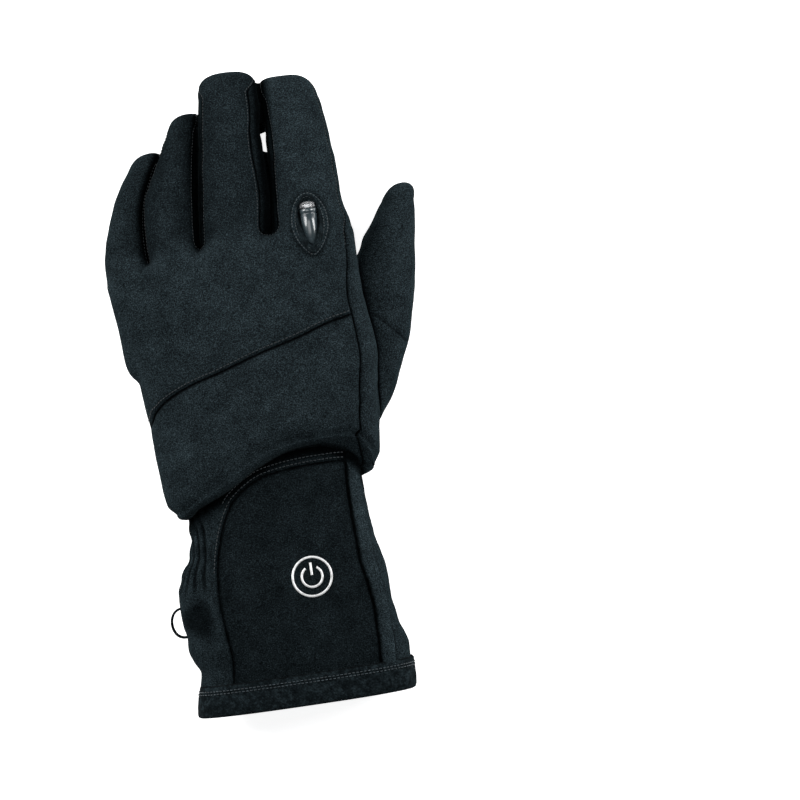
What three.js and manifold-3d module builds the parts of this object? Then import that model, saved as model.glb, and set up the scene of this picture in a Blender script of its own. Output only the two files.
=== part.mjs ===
// A winter cycling glove for the left hand, lying palm down, in millimetres.
// X runs across the hand towards the thumb, Y along it towards the fingertips and Z up out of the back.
// The hand, the fingers, the thumb and the cuff are lofted tubes with a padded wall. The hand's wall is
// then parted along its seams into the panels that are sewn together on the real glove.
import * as THREE from "three";
import { mergeVertices } from "three/addons/utils/BufferGeometryUtils.js";
import Module from "manifold-3d";

const wasm = await Module();
wasm.setup();

// Driving dimensions
const HAND_LENGTH = 112; // from the wrist fold to the knuckles' front
const HAND_WIDTH = 110;
const HAND_HEIGHT = 47;
const HAND_ROLL = 4; // degrees that the thumb's side of the hand is raised
const HAND_SQUARE = 2.7; // 2 is an ellipse, and more is squarer
const WRIST_SKEW = 5; // the wrist fold reaches this much nearer the hem at the little finger's side
const WRIST_ARCH = 14; // and this much nearer the fingers on the back of the hand
const WRIST_TWIST = 11; // and the arch leans this much towards the thumb
const KNUCKLE_SKEW = 5;
const CUFF_LENGTH = 118; // from the hem to the cuff's upper end, which is tucked inside the hand
const CUFF_WIDTH = 96;
const CUFF_HEIGHT = 43;
const CUFF_SQUARE = 2.5;
const CUFF_TUCK = 23; // how far the cuff reaches into the hand
const CUFF_CLEARANCE = 1; // between the tucked end and the hand's inner face
const THUMB_LENGTH = 105;
const THUMB_WIDTH = 30;
const THUMB_HEIGHT = 27;
const HAND_WALL = 3; // softshell, insulation and lining
const CUFF_WALL = 2.2;
const SEAM_GAP = 0.3; // between panels that are sewn edge to edge
const SEAM_DEPTH = 1; // that a side seam stays below the underside of the back
const HEM_WIDTH = 14;
const HEM_PROUD = 1; // the binding stands this much outside the cuff
const GATHER_DEPTH = 1.1; // of the ruffles over the wrist elastic
const GATHER_RIBS = 18;
const TAPE_WIDTH = 8.5; // of the tape beside the cuff's panel
const TAPE_PROUD = 0.6;
const LEATHER_WALL = 1.1;
const LIGHT_RADIUS = 3.6;
const LIGHT_LENGTH = 20;
const LENS_LENGTH = 3.2;
const LIGHT_RISE = 0.6; // of the light's axis above the finger's back
const LIGHT_AHEAD = 0.5; // of its middle past the knuckles
const LIGHT_ASIDE = 0.6; // from the finger's middle towards the thumb
const SLOT_WIDTH = 9.4; // of the opening that the light looks out of
const SLOT_LENGTH = 24;
const WELT_WIDTH = 17;
const WELT_LENGTH = 29;
const WELT_WALL = 0.9;
const POCKET_WALL = 1.1;
const EMBLEM_DIAMETER = 18;
const EMBLEM_CENTRE = { x: 0.11, y: 0.47 }; // shares of CUFF_WIDTH and CUFF_LENGTH
const EMBLEM_LINE = 1;
const EMBLEM_RELIEF = 0.4;
const BAR = { low: 0.08, high: 0.68 }; // the emblem's bar, in shares of its radius
const LOOP_MIDDLE = 0.36; // of the hanging loop, as a share of CUFF_LENGTH
const LOOP_LENGTH = 14; // along the cuff
const LOOP_REACH = 5.8;
const LOOP_WIDTH = 4;
const LOOP_WALL = 1.1;

const WRIST_Y = CUFF_LENGTH - CUFF_TUCK;
const KNUCKLE_Y = WRIST_Y + HAND_LENGTH;
const SKY = 90; // higher than anything on the glove
const DEEP = 20; // further below the floor than any cutter needs
const FAR = 400; // further along Y than anything on the glove
const SPARE = 15; // that a seam's cutter reaches past a limb's side
const CRUMB = 100; // cubic millimetres, less than any pad

const HAND_SIDES = 24;
const FINGER_SIDES = 12;
const THUMB_SIDES = 12;
const CUFF_SIDES = 54;
const BAND_SIDES = 36;
const PANEL_COLUMNS = 10;
const TAPE_COLUMNS = 3;
const WINDOW_COLUMNS = 12;
const PAST = 2; // that a cutter reaches past a wall
const INNER_SHARE = 0.67;
const DOME_RINGS = 2;
const DOME_FLAT = 0.4; // of a ring's step, left flat at the end of a rounded tip
const DOME_FULLNESS = 0.8; // below 1 the tip is blunter than a ball
const STRIP_STEPS = 9;
const EMBLEM_SIDES = 24;
const ARC_STEPS = 18;
const LOOP_STEPS = 8;
const LIGHT_SIDES = 14;
const EYE_SIDES = 16;
const EYE_POINT = 0.35; // how much narrower the light's opening is at the hem's end

// The hand's sections. along is a share of HAND_LENGTH from the wrist fold. left and right are shares of
// HAND_WIDTH, base and top of HAND_HEIGHT. wrist is the share of the fold's skew, arch and twist that the
// section has, and knuckle its share of KNUCKLE_SKEW. push is the share of the wall by which the inner
// face moves along Y.
const HAND_ROWS = [
  { along: 0.0, left: -0.377, right: 0.377, base: 0.085, top: 0.83, wrist: 1, knuckle: 0, push: 1 },
  { along: 0.01, left: -0.409, right: 0.414, base: 0.043, top: 0.9, wrist: 1, knuckle: 0, push: 1 },
  { along: 0.045, left: -0.436, right: 0.436, base: 0.01, top: 0.96, wrist: 0.97, knuckle: 0, push: 0.9 },
  { along: 0.13, left: -0.446, right: 0.441, base: -0.03, top: 0.98, wrist: 0.8, knuckle: 0, push: 0.3 },
  { along: 0.295, left: -0.464, right: 0.459, base: -0.04, top: 0.99, wrist: 0.25, knuckle: 0, push: 0 },
  { along: 0.48, left: -0.48, right: 0.482, base: 0.01, top: 1.0, wrist: 0, knuckle: 0, push: 0 },
  { along: 0.688, left: -0.514, right: 0.464, base: 0.09, top: 0.98, wrist: 0, knuckle: 0.2, push: 0 },
  { along: 0.812, left: -0.536, right: 0.453, base: 0.16, top: 0.95, wrist: 0, knuckle: 0.6, push: 0 },
  { along: 0.9, left: -0.542, right: 0.45, base: 0.23, top: 0.9, wrist: 0, knuckle: 1, push: -0.3 },
  { along: 0.95, left: -0.51, right: 0.43, base: 0.3, top: 0.83, wrist: 0, knuckle: 1, push: -0.8 },
  { along: 0.975, left: -0.45, right: 0.37, base: 0.4, top: 0.74, wrist: 0, knuckle: 1, push: -1 },
];

// The cuff's sections. along is a share of CUFF_LENGTH from the hem, left and right of CUFF_WIDTH, base
// and top of CUFF_HEIGHT, and gather of GATHER_DEPTH.
const CUFF_ROWS = [
  { along: 0.0, left: -0.49, right: 0.495, base: -0.03, top: 0.98, gather: 0 },
  { along: 0.16, left: -0.47, right: 0.5, base: -0.03, top: 1.0, gather: 0 },
  { along: 0.28, left: -0.495, right: 0.474, base: -0.02, top: 1.0, gather: 0 },
  { along: 0.38, left: -0.51, right: 0.453, base: -0.01, top: 0.99, gather: 0 },
  { along: 0.48, left: -0.505, right: 0.443, base: 0.02, top: 0.965, gather: 0.1 },
  { along: 0.56, left: -0.469, right: 0.422, base: 0.07, top: 0.93, gather: 0.6 },
  { along: 0.63, left: -0.425, right: 0.403, base: 0.105, top: 0.885, gather: 1 },
  { along: 0.73, left: -0.415, right: 0.399, base: 0.12, top: 0.86, gather: 1 },
  { along: 0.83, left: -0.406, right: 0.411, base: 0.12, top: 0.86, gather: 0.3 },
  { along: 1.0, left: -0.396, right: 0.396, base: 0.128, top: 0.85, gather: 0 },
];

// The fingers. root and tip are the centreline's ends, with x and width shares of HAND_WIDTH, y a share
// of HAND_LENGTH from the wrist fold, and z and height shares of HAND_HEIGHT. bend above 1 keeps the
// finger straight for longer before it leans, and droop does the same for its fall. taper narrows it
// towards its tip. The seams are shares of its half height.
const FINGERS = [
  { name: "little", rootX: -0.4682, tipX: -0.3318, rootY: 0.6696, tipY: 1.3929,
    rootZ: 0.4894, tipZ: 0.1489, bend: 3, droop: 1.3, width: 0.1709, height: 0.4468,
    taper: 0.3, seamLeft: 0.1, seamRight: 0.65 },
  { name: "ring", rootX: -0.2727, tipX: -0.1364, rootY: 0.6875, tipY: 1.5491,
    rootZ: 0.5638, tipZ: 0.1106, bend: 2.6, droop: 2.2, width: 0.2055, height: 0.4894,
    taper: 0.25, seamLeft: 0.3, seamRight: 0.7 },
  { name: "middle", rootX: -0.0455, tipX: 0.0409, rootY: 0.6875, tipY: 1.6607,
    rootZ: 0.617, tipZ: 0.2553, bend: 1, droop: 2.6, width: 0.2727, height: 0.5319,
    taper: 0, seamLeft: 0.65, seamRight: 0.8 },
  { name: "index", rootX: 0.2818, tipX: 0.2855, rootY: 0.6875, tipY: 1.6339,
    rootZ: 0.617, tipZ: 0.117, bend: 1, droop: 2.4, width: 0.2618, height: 0.5319,
    taper: 0, seamLeft: 0.75, seamRight: 0.35 },
];
const FINGER_SQUARE = 2.4;
const FINGER_ROLL = 4;
// along is a share of a finger's length from its root, and wide and high are shares of its width and
// height.
const FINGER_ROWS = [
  { along: 0.0, wide: 0.6, high: 0.8 },
  { along: 0.12, wide: 0.92, high: 1.03 },
  { along: 0.3, wide: 1.11, high: 1.05 },
  { along: 0.45, wide: 1.0, high: 1.01 },
  { along: 0.7, wide: 0.98, high: 0.97 },
  { along: 0.88, wide: 0.88, high: 0.9 },
];

// The thumb's sections. along is a share of THUMB_LENGTH from its root. across and rise are shares of
// THUMB_LENGTH and THUMB_HEIGHT at which the centreline lies. wide and high are shares of THUMB_WIDTH and
// THUMB_HEIGHT.
const THUMB_ROOT = { x: 0.309, y: 0.1875 }; // as a seam's point
const THUMB_ROWS = [
  { along: 0.0, across: 0.0, rise: 0.5, wide: 0.78, high: 0.84 },
  { along: 0.13, across: 0.09, rise: 0.49, wide: 1.0, high: 0.98 },
  { along: 0.33, across: 0.18, rise: 0.47, wide: 0.97, high: 1.0 },
  { along: 0.48, across: 0.225, rise: 0.47, wide: 0.94, high: 0.98 },
  { along: 0.6, across: 0.256, rise: 0.46, wide: 0.89, high: 0.96 },
  { along: 0.72, across: 0.272, rise: 0.45, wide: 0.86, high: 0.95 },
  { along: 0.8, across: 0.295, rise: 0.44, wide: 0.76, high: 0.93 },
  { along: 0.88, across: 0.335, rise: 0.43, wide: 0.56, high: 0.88 },
  { along: 0.95, across: 0.366, rise: 0.42, wide: 0.37, high: 0.76 },
];
const THUMB_SQUARE = 2.2;

// The light's nose and its lens. wide is a share of LIGHT_RADIUS, and along is a share of LIGHT_LENGTH in
// the nose and of the lens's own length in the lens.
const NOSE = [
  { along: 0, wide: 0 }, { along: 0.025, wide: 0.3 }, { along: 0.1, wide: 0.62 },
  { along: 0.225, wide: 0.86 }, { along: 0.4, wide: 1 },
];
const LENS = [
  { along: 0, wide: 0 }, { along: 0, wide: 0.92 }, { along: 0.66, wide: 0.88 },
  { along: 1, wide: 0.6 }, { along: 1, wide: 0 },
];

// The leather strip on the side of the thumb that faces the palm, from and to in shares of THUMB_LENGTH.
const STRIP = { from: 0.36, to: 0.97, middle: 1.14 * Math.PI, reach: 0.42 };

// Seams seen from above, with x a share of HAND_WIDTH and y a share of HAND_LENGTH from the wrist fold.
const BACK_SEAM = [
  { x: -0.7, y: 0.18 }, { x: -0.465, y: 0.32 }, { x: -0.44, y: 0.356 }, { x: -0.372, y: 0.406 },
  { x: -0.265, y: 0.45 }, { x: 0.01, y: 0.53 }, { x: 0.305, y: 0.614 }, { x: 0.7, y: 0.75 },
];
const PAD_SEAM = [
  { x: -0.7, y: 0.93 }, { x: -0.46, y: 0.96 }, { x: -0.38, y: 1.02 }, { x: -0.26, y: 1.055 },
  { x: 0.0, y: 1.055 }, { x: 0.28, y: 1.04 }, { x: 0.45, y: 1.0 }, { x: 0.7, y: 1.0 },
];
const PATCH_TOP = [
  { x: -0.7, y: 0.85 }, { x: -0.45, y: 0.82 }, { x: -0.27, y: 0.78 }, { x: -0.11, y: 0.76 },
  { x: 0.07, y: 0.795 }, { x: 0.23, y: 0.78 }, { x: 0.36, y: 0.71 },
];
const PATCH_THUMB = [{ x: 0.3, y: 0.6 }, { x: 0.22, y: 0.48 }, { x: 0.155, y: 0.35 }];
const PATCH_BASE = [
  { x: 0.125, y: 0.22 }, { x: 0.0, y: 0.25 }, { x: -0.45, y: 0.3 }, { x: -0.7, y: 0.32 },
];
const HAND_SEAM_LEFT = 0.1; // the heights of the side seams, as shares of a half height
const HAND_SEAM_RIGHT = 0.64;
const HAND_PALM_SEAM = -0.35;
const FINGER_PALM_SEAM = -0.45;

// The edges of the cuff's panel at its left and of the tape at its right. y is a share of CUFF_LENGTH
// from the hem, and left and right are shares of CUFF_WIDTH.
const PANEL_TOP_Y = 0.88;
const PANEL_ROWS = [
  { y: 0.125, left: -0.316, right: 0.364 },
  { y: 0.21, left: -0.3, right: 0.371 },
  { y: 0.29, left: -0.309, right: 0.372 },
  { y: 0.41, left: -0.322, right: 0.356 },
  { y: 0.52, left: -0.316, right: 0.333 },
  { y: 0.645, left: -0.283, right: 0.328 },
  { y: 0.77, left: -0.215, right: 0.327 },
  { y: 0.82, left: -0.146, right: 0.33 },
  { y: 0.865, left: -0.03, right: 0.335 },
  { y: PANEL_TOP_Y, left: 0.12, right: 0.34 },
];

const GREY = { fabric: 0x1d2123, leather: 0x23282a, black: 0x0c0e0f, silver: 0xd9dddd, clear: 0xdfe6e8 };
const FABRIC = new THREE.MeshStandardMaterial({ color: GREY.fabric, roughness: 0.85, metalness: 0 });
const LEATHER = new THREE.MeshStandardMaterial({ color: GREY.leather, roughness: 0.55, metalness: 0 });
const GLOSS = new THREE.MeshStandardMaterial({ color: GREY.black, roughness: 0.15, metalness: 0 });
const REFLECTIVE = new THREE.MeshStandardMaterial({ color: GREY.silver, roughness: 0.35, metalness: 0.2 });
const CLEAR = new THREE.MeshStandardMaterial({
  color: GREY.clear, roughness: 0.05, metalness: 0, transparent: true, opacity: 0.4,
});

const glove = new THREE.Group();

function solidOf(geometry) {
  const bare = new THREE.BufferGeometry().setAttribute("position", geometry.getAttribute("position"));
  bare.setIndex(geometry.getIndex());
  const merged = mergeVertices(bare, 1e-4);
  return new wasm.Manifold(
    new wasm.Mesh({
      numProp: 3,
      vertProperties: new Float32Array(merged.attributes.position.array),
      triVerts: new Uint32Array(merged.index.array),
    }),
  );
}

// The largest body of a cut solid, without the crumbs that a cut can leave.
function largest(solid) {
  return solid.decompose().reduce((best, body) => (body.volume() > best.volume() ? body : best));
}

function addPiece(name, solid, material) {
  const { vertProperties, triVerts } = largest(solid).getMesh();
  const geometry = new THREE.BufferGeometry();
  geometry.setAttribute("position", new THREE.BufferAttribute(vertProperties, 3));
  geometry.setIndex(new THREE.BufferAttribute(triVerts, 1));
  geometry.computeVertexNormals();
  const mesh = new THREE.Mesh(geometry, material);
  mesh.name = name;
  glove.add(mesh);
}

// Joins rings of points, each with as many points, into a closed tube with flat ends.
function tube(rings) {
  const sides = rings[0].length;
  const points = rings.flat();
  const index = [];
  for (let r = 0; r + 1 < rings.length; r++) {
    for (let i = 0; i < sides; i++) {
      const [a, b] = [r * sides + i, r * sides + ((i + 1) % sides)];
      index.push(a, b, a + sides, b, b + sides, a + sides);
    }
  }
  for (const [start, turned] of [[0, false], [(rings.length - 1) * sides, true]]) {
    const centre = new THREE.Vector3();
    for (let i = 0; i < sides; i++) centre.addScaledVector(points[start + i], 1 / sides);
    const hub = points.push(centre) - 1;
    for (let i = 0; i < sides; i++) {
      const [a, b] = [start + i, start + ((i + 1) % sides)];
      index.push(...(turned ? [a, b, hub] : [b, a, hub]));
    }
  }
  const shape = new THREE.BufferGeometry().setFromPoints(points);
  const solid = solidOf(shape.setIndex(index));
  return solid.volume() < 0 ? solidOf(shape.setIndex(index.reverse())) : solid;
}

const power = (value, exponent) => Math.sign(value) * Math.abs(value) ** exponent;
const mix = THREE.MathUtils.lerp;

// A point of a section at an angle, grown outwards by grow. What would sink below the floor is flattened.
function sectionPoint(row, angle, grow) {
  const [c, s] = [Math.cos(angle), Math.sin(angle)];
  const across = (row.halfWidth + grow) * power(c, 2 / row.square);
  const up = (row.halfHeight + grow) * power(s, 2 / row.square);
  const roll = THREE.MathUtils.degToRad(row.roll);
  const x = row.x + across * Math.cos(roll) - up * Math.sin(roll);
  const z = row.z + across * Math.sin(roll) + up * Math.cos(roll);
  const back = Math.max(0, s);
  const { push = 0, skew = 0, arch = 0, twist = 0 } = row;
  const y = row.y - push * grow + skew * c + arch * back + twist * back * c;
  return new THREE.Vector3(x, y, Math.max(z, -grow));
}

function sectionRing(row, sides, grow) {
  return Array.from({ length: sides }, (_, i) => sectionPoint(row, (i / sides) * 2 * Math.PI, grow));
}

// The section between two rows of a list at a given y.
function rowAt(rows, y) {
  const next = Math.max(1, rows.findIndex((row) => row.y >= y));
  const [a, b] = y > rows.at(-1).y ? [rows.at(-1), rows.at(-1)] : [rows[next - 1], rows[next]];
  const share = a === b ? 0 : THREE.MathUtils.clamp((y - a.y) / (b.y - a.y), 0, 1);
  return Object.fromEntries(Object.keys(a).map((key) => [key, mix(a[key], b[key], share)]));
}

// A loft through the rows, closed by a rounded dome of the given length past the last one.
function limb(rows, sides, grow, dome = 0) {
  const rings = rows.map((row) => sectionRing(row, sides, grow));
  const last = rows.at(-1);
  for (let k = 1; dome && k <= DOME_RINGS; k++) {
    const turn = (k / (DOME_RINGS + DOME_FLAT)) * (Math.PI / 2);
    const row = { ...last, y: last.y + (dome + grow) * Math.sin(turn) };
    const shrink = Math.cos(turn) ** DOME_FULLNESS;
    row.x += (last.leanX ?? 0) * dome * Math.sin(turn);
    row.z += (last.leanZ ?? 0) * dome * Math.sin(turn);
    row.halfWidth = (last.halfWidth + grow) * shrink - grow;
    row.halfHeight = (last.halfHeight + grow) * shrink - grow;
    rings.push(sectionRing(row, sides, grow));
  }
  return tube(rings);
}

function boxedRow(row, y, width, height, square, roll) {
  return {
    y, square, roll,
    x: ((row.left + row.right) / 2) * width,
    z: ((row.base + row.top) / 2) * height,
    halfWidth: ((row.right - row.left) / 2) * width,
    halfHeight: ((row.top - row.base) / 2) * height,
  };
}

const handRows = HAND_ROWS.map((row) => ({
  ...boxedRow(row, WRIST_Y + row.along * HAND_LENGTH, HAND_WIDTH, HAND_HEIGHT, HAND_SQUARE, HAND_ROLL),
  skew: row.wrist * WRIST_SKEW + row.knuckle * KNUCKLE_SKEW,
  arch: row.wrist * WRIST_ARCH,
  twist: row.wrist * WRIST_TWIST,
  push: row.push,
}));

const cuffRows = CUFF_ROWS.map((row) => ({
  ...boxedRow(row, row.along * CUFF_LENGTH, CUFF_WIDTH, CUFF_HEIGHT, CUFF_SQUARE, 0),
  gather: row.gather * GATHER_DEPTH,
}));

// A finger of the table with its lengths in millimetres, its sections, and its rounded tip's length.
function sizedFinger(shares) {
  const finger = { ...shares };
  for (const end of ["root", "tip"]) {
    finger[end + "X"] = shares[end + "X"] * HAND_WIDTH;
    finger[end + "Y"] = WRIST_Y + shares[end + "Y"] * HAND_LENGTH;
    finger[end + "Z"] = shares[end + "Z"] * HAND_HEIGHT;
  }
  const length = finger.tipY - finger.rootY;
  finger.rows = FINGER_ROWS.map((row) => ({
    y: finger.rootY + row.along * length,
    x: mix(finger.rootX, finger.tipX, row.along ** finger.bend),
    z: mix(finger.rootZ, finger.tipZ, row.along ** finger.droop),
    halfWidth: ((shares.width * HAND_WIDTH) / 2) * row.wide * (1 - finger.taper * row.along ** 4),
    halfHeight: ((shares.height * HAND_HEIGHT) / 2) * row.high,
    square: FINGER_SQUARE,
    roll: FINGER_ROLL,
    leanX: ((finger.tipX - finger.rootX) * finger.bend * row.along ** (finger.bend - 1)) / length,
    leanZ: ((finger.tipZ - finger.rootZ) * finger.droop * row.along ** (finger.droop - 1)) / length,
  }));
  finger.dome = finger.tipY - finger.rows.at(-1).y;
  return finger;
}

const fingers = FINGERS.map(sizedFinger);

const onHand = (point, shift = 0) => [point.x * HAND_WIDTH, WRIST_Y + point.y * HAND_LENGTH + shift];
const [thumbRootX, thumbRootY] = onHand(THUMB_ROOT);

const thumbRows = THUMB_ROWS.map((row) => ({
  y: thumbRootY + row.along * THUMB_LENGTH,
  x: thumbRootX + row.across * THUMB_LENGTH,
  z: row.rise * THUMB_HEIGHT,
  halfWidth: (row.wide * THUMB_WIDTH) / 2,
  halfHeight: (row.high * THUMB_HEIGHT) / 2,
  square: THUMB_SQUARE,
  roll: 0,
}));
const THUMB_DOME = THUMB_LENGTH * (1 - THUMB_ROWS.at(-1).along);

// An inner face is plainer than an outer one.
const sidesFor = (sides, grow) => (grow < 0 ? Math.round(sides * INNER_SHARE) : sides);
const fingerSolid = (finger, grow) => limb(finger.rows, sidesFor(FINGER_SIDES, grow), grow, finger.dome);
const handSolid = (grow) => limb(handRows, sidesFor(HAND_SIDES, grow), grow);
const thumbSolid = (grow) => limb(thumbRows, sidesFor(THUMB_SIDES, grow), grow, THUMB_DOME);

function bodySolid(grow) {
  return fingers.reduce((body, finger) => body.add(fingerSolid(finger, grow)), handSolid(grow));
}

// The cuff's tube. Its ruffles fade out over the back, where the smooth panel lies.
function cuffPoint(y, angle, grow) {
  const row = rowAt(cuffRows, y);
  const palmSide = THREE.MathUtils.smoothstep(-Math.sin(angle), -0.35, 0.1);
  const ruffle = row.gather * palmSide * (0.5 + 0.5 * Math.cos(GATHER_RIBS * angle));
  return sectionPoint(row, angle, grow - ruffle);
}

function cuffTube(startY, endY, grow, sides = CUFF_SIDES) {
  const between = cuffRows.map((row) => row.y).filter((y) => y > startY + 1 && y < endY - 1);
  const rings = [startY, ...between, endY].map((y) =>
    Array.from({ length: sides }, (_, i) => cuffPoint(y, (i / sides) * 2 * Math.PI, grow)),
  );
  return tube(rings);
}

function cuffAngle(y, x) {
  const row = rowAt(cuffRows, y);
  const share = THREE.MathUtils.clamp((x - row.x) / row.halfWidth, -1, 1);
  return Math.acos(power(share, row.square / 2));
}

// The angle that lies a distance further round the cuff towards the thumb's side.
function angleAfter(y, from, distance) {
  let [angle, walked] = [from, 0];
  while (walked < distance) {
    const next = angle - 0.01;
    walked += cuffPoint(y, angle, 0).distanceTo(cuffPoint(y, next, 0));
    angle = next;
  }
  return angle;
}

// A patch of the cuff's back between two edges, each given as an angle at a y, from outer to inner offsets.
function cuffPatch(ys, leftAt, rightAt, outer, inner, columns) {
  const grid = (grow) =>
    ys.map((y) => {
      const [from, to] = [rightAt(y), leftAt(y)];
      return Array.from({ length: columns + 1 }, (_, i) => cuffPoint(y, mix(from, to, i / columns), grow));
    });
  const [top, under] = [grid(outer), grid(inner)];
  return tube(ys.map((_, r) => [...top[r], ...under[r].reverse()]));
}

// A prism standing on the floor over an outline of [x, y] points.
function prism(outline, base = -DEEP, top = SKY) {
  const shape = new THREE.Shape(outline.map(([x, y]) => new THREE.Vector2(x, y)));
  const geometry = new THREE.ExtrudeGeometry(shape, { depth: top - base, bevelEnabled: false });
  return solidOf(geometry.translate(0, 0, base));
}


// Everything on the fingers' side of a seam that runs across the hand.
function beyond(seam, shift) {
  const line = seam.map((point) => onHand(point, shift));
  return prism([...line, [line.at(-1)[0], FAR], [line[0][0], FAR]]);
}

// A clockwise outline moved outwards by grow.
function grown(outline, grow) {
  return outline.map(([x, y], i) => {
    const [before, after] = [outline.at(i - 1), outline[(i + 1) % outline.length]];
    const along = new THREE.Vector2(after[0] - before[0], after[1] - before[1]).normalize();
    return [x - grow * along.y, y + grow * along.x];
  });
}

// What lies above a seam surface inside a limb's own skin. leftShare and rightShare are the seam's
// heights as shares of the limb's half height.
function aboveSeam(rows, sides, dome, leftShare, rightShare, shift) {
  const first = { ...rows[0], y: rows[0].y - 2 * SPARE };
  const last = { ...rows.at(-1), y: rows.at(-1).y + 4 * SPARE };
  const edge = (row, side, share) => {
    const roll = THREE.MathUtils.degToRad(row.roll);
    const reach = row.halfWidth * side;
    const rise = Math.min(share * row.halfHeight, row.halfHeight - HAND_WALL - SEAM_DEPTH) + shift;
    const slope = ((rightShare - leftShare) * row.halfHeight) / (2 * row.halfWidth);
    const spare = SPARE * side;
    const z = row.z + reach * Math.sin(roll) + rise * Math.cos(roll) + spare * (slope + Math.tan(roll));
    return new THREE.Vector3(row.x + reach * Math.cos(roll) + spare, row.y, z);
  };
  const rings = [first, ...rows, last].map((row) => {
    const [left, right] = [edge(row, -1, leftShare), edge(row, 1, rightShare)];
    return [left, right, new THREE.Vector3(right.x, row.y, SKY), new THREE.Vector3(left.x, row.y, SKY)];
  });
  return tube(rings).intersect(limb(rows, sides, 2 * SEAM_GAP, dome));
}

function aboveBackSeam(shift) {
  const hand = aboveSeam(handRows, HAND_SIDES, 0, HAND_SEAM_LEFT, HAND_SEAM_RIGHT, shift);
  return fingers.reduce(
    (all, f) => all.add(aboveSeam(f.rows, FINGER_SIDES, f.dome, f.seamLeft, f.seamRight, shift)),
    hand,
  );
}

function abovePalmSeam(shift) {
  const hand = aboveSeam(handRows, HAND_SIDES, 0, HAND_PALM_SEAM, HAND_PALM_SEAM, shift);
  return fingers.reduce(
    (all, f) =>
      all.add(aboveSeam(f.rows, FINGER_SIDES, f.dome, FINGER_PALM_SEAM, FINGER_PALM_SEAM, shift)),
    hand,
  );
}

// The opening for the light in the index finger's back, an eye that is rounder at the fingertip's end.
const index = fingers.at(-1);
const LIGHT_Y = KNUCKLE_Y + LIGHT_AHEAD;
const lightRow = rowAt(index.rows, LIGHT_Y);
const LIGHT_X = lightRow.x + LIGHT_ASIDE;
const lightTopZ = lightRow.z + lightRow.halfHeight;

function eye(width, length) {
  return Array.from({ length: EYE_SIDES }, (_, i) => {
    const turn = (i / EYE_SIDES) * 2 * Math.PI;
    const along = Math.sin(turn);
    const narrow = along < 0 ? 1 - EYE_POINT * along ** 2 : 1;
    return [LIGHT_X + (width / 2) * Math.cos(turn) * narrow, LIGHT_Y + (length / 2) * along];
  });
}

function makeHand() {
  const half = SEAM_GAP / 2;
  const cavity = bodySolid(-HAND_WALL)
    .add(thumbSolid(-HAND_WALL))
    .add(cuffTube(WRIST_Y - CUFF_TUCK, CUFF_LENGTH + 1, CUFF_CLEARANCE, HAND_SIDES));
  const shell = bodySolid(0).subtract(cavity);
  const back = shell.intersect(aboveBackSeam(half));
  const rest = shell.subtract(aboveBackSeam(-half));
  const sides = rest.intersect(abovePalmSeam(half));
  const palm = rest.subtract(abovePalmSeam(-half));
  const slot = prism(eye(SLOT_WIDTH, SLOT_LENGTH), lightRow.z);

  const upper = beyond(BACK_SEAM, half);
  addPiece("back_upper", back.intersect(upper).subtract(slot), FABRIC);
  addPiece("back_lower", back.subtract(beyond(BACK_SEAM, -half)), FABRIC);
  makeSides(sides);
  makePalm(palm, half);
}

const middleX = (body) => (body.boundingBox().min[0] + body.boundingBox().max[0]) / 2;

// The walls between the back and the palm side, parted at each fingertip.
function makeSides(sides) {
  const parted = fingers.reduce((walls, finger) => {
    const last = finger.rows.at(-1);
    const ahead = 3 * finger.dome;
    const half = SEAM_GAP / 2;
    const slit = prism([
      [last.x - half, last.y],
      [last.x + half, last.y],
      [last.x + half + ahead * last.leanX, last.y + ahead],
      [last.x - half + ahead * last.leanX, last.y + ahead],
    ]);
    return walls.subtract(slit);
  }, sides);
  const names = [
    "side_little", "fourchette_little_ring", "fourchette_ring_middle", "fourchette_middle_index",
    "side_index",
  ];
  const bodies = parted.decompose().sort((a, b) => b.volume() - a.volume()).slice(0, names.length);
  bodies.sort((a, b) => middleX(a) - middleX(b));
  bodies.forEach((body, i) => addPiece(names[i], body, FABRIC));
}

function makePalm(palm, half) {
  const bodies = palm.intersect(beyond(PAD_SEAM, half)).decompose();
  const pads = bodies.filter((body) => body.volume() > CRUMB).sort((a, b) => middleX(a) - middleX(b));
  fingers.forEach((finger, i) => addPiece(`pad_${finger.name}`, pads[i], LEATHER));
  const rest = palm.subtract(beyond(PAD_SEAM, -half));
  const edge = [...PATCH_TOP, ...PATCH_THUMB, ...PATCH_BASE].map((point) => onHand(point));
  addPiece("palm_patch", rest.intersect(prism(grown(edge, -half))), LEATHER);
  const fabric = rest.subtract(prism(grown(edge, half)));
  const front = [...PATCH_TOP, { x: 0.7, y: PATCH_TOP.at(-1).y }];
  addPiece("palm_front", fabric.intersect(beyond(front, half)), FABRIC);
  addPiece("palm_heel", fabric.subtract(beyond(front, -half)), FABRIC);
}

// The thumb's tube, with the leather strip that faces the palm laid on it.
function makeThumb() {
  const body = bodySolid(SEAM_GAP);
  const shell = thumbSolid(0).subtract(thumbSolid(-HAND_WALL)).subtract(body);
  addPiece("thumb_shell", shell, FABRIC);
  const strip = Array.from({ length: STRIP_STEPS + 1 }, (_, i) => {
    const share = i / STRIP_STEPS;
    const row = rowAt(thumbRows, thumbRootY + THUMB_LENGTH * mix(STRIP.from, STRIP.to, share));
    const reach = STRIP.reach * Math.sin(Math.PI * mix(0.08, 0.92, share)) ** 0.7;
    const turns = [-1, -0.5, 0, 0.5, 1].map((side) => STRIP.middle + reach * side);
    const outer = turns.map((turn) => sectionPoint(row, turn, SEAM_GAP + LEATHER_WALL));
    const inner = turns.map((turn) => sectionPoint(row, turn, -LEATHER_WALL));
    return [...outer, ...inner.reverse()];
  });
  addPiece("thumb_strip", tube(strip).subtract(thumbSolid(SEAM_GAP)).subtract(body), LEATHER);
}

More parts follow.
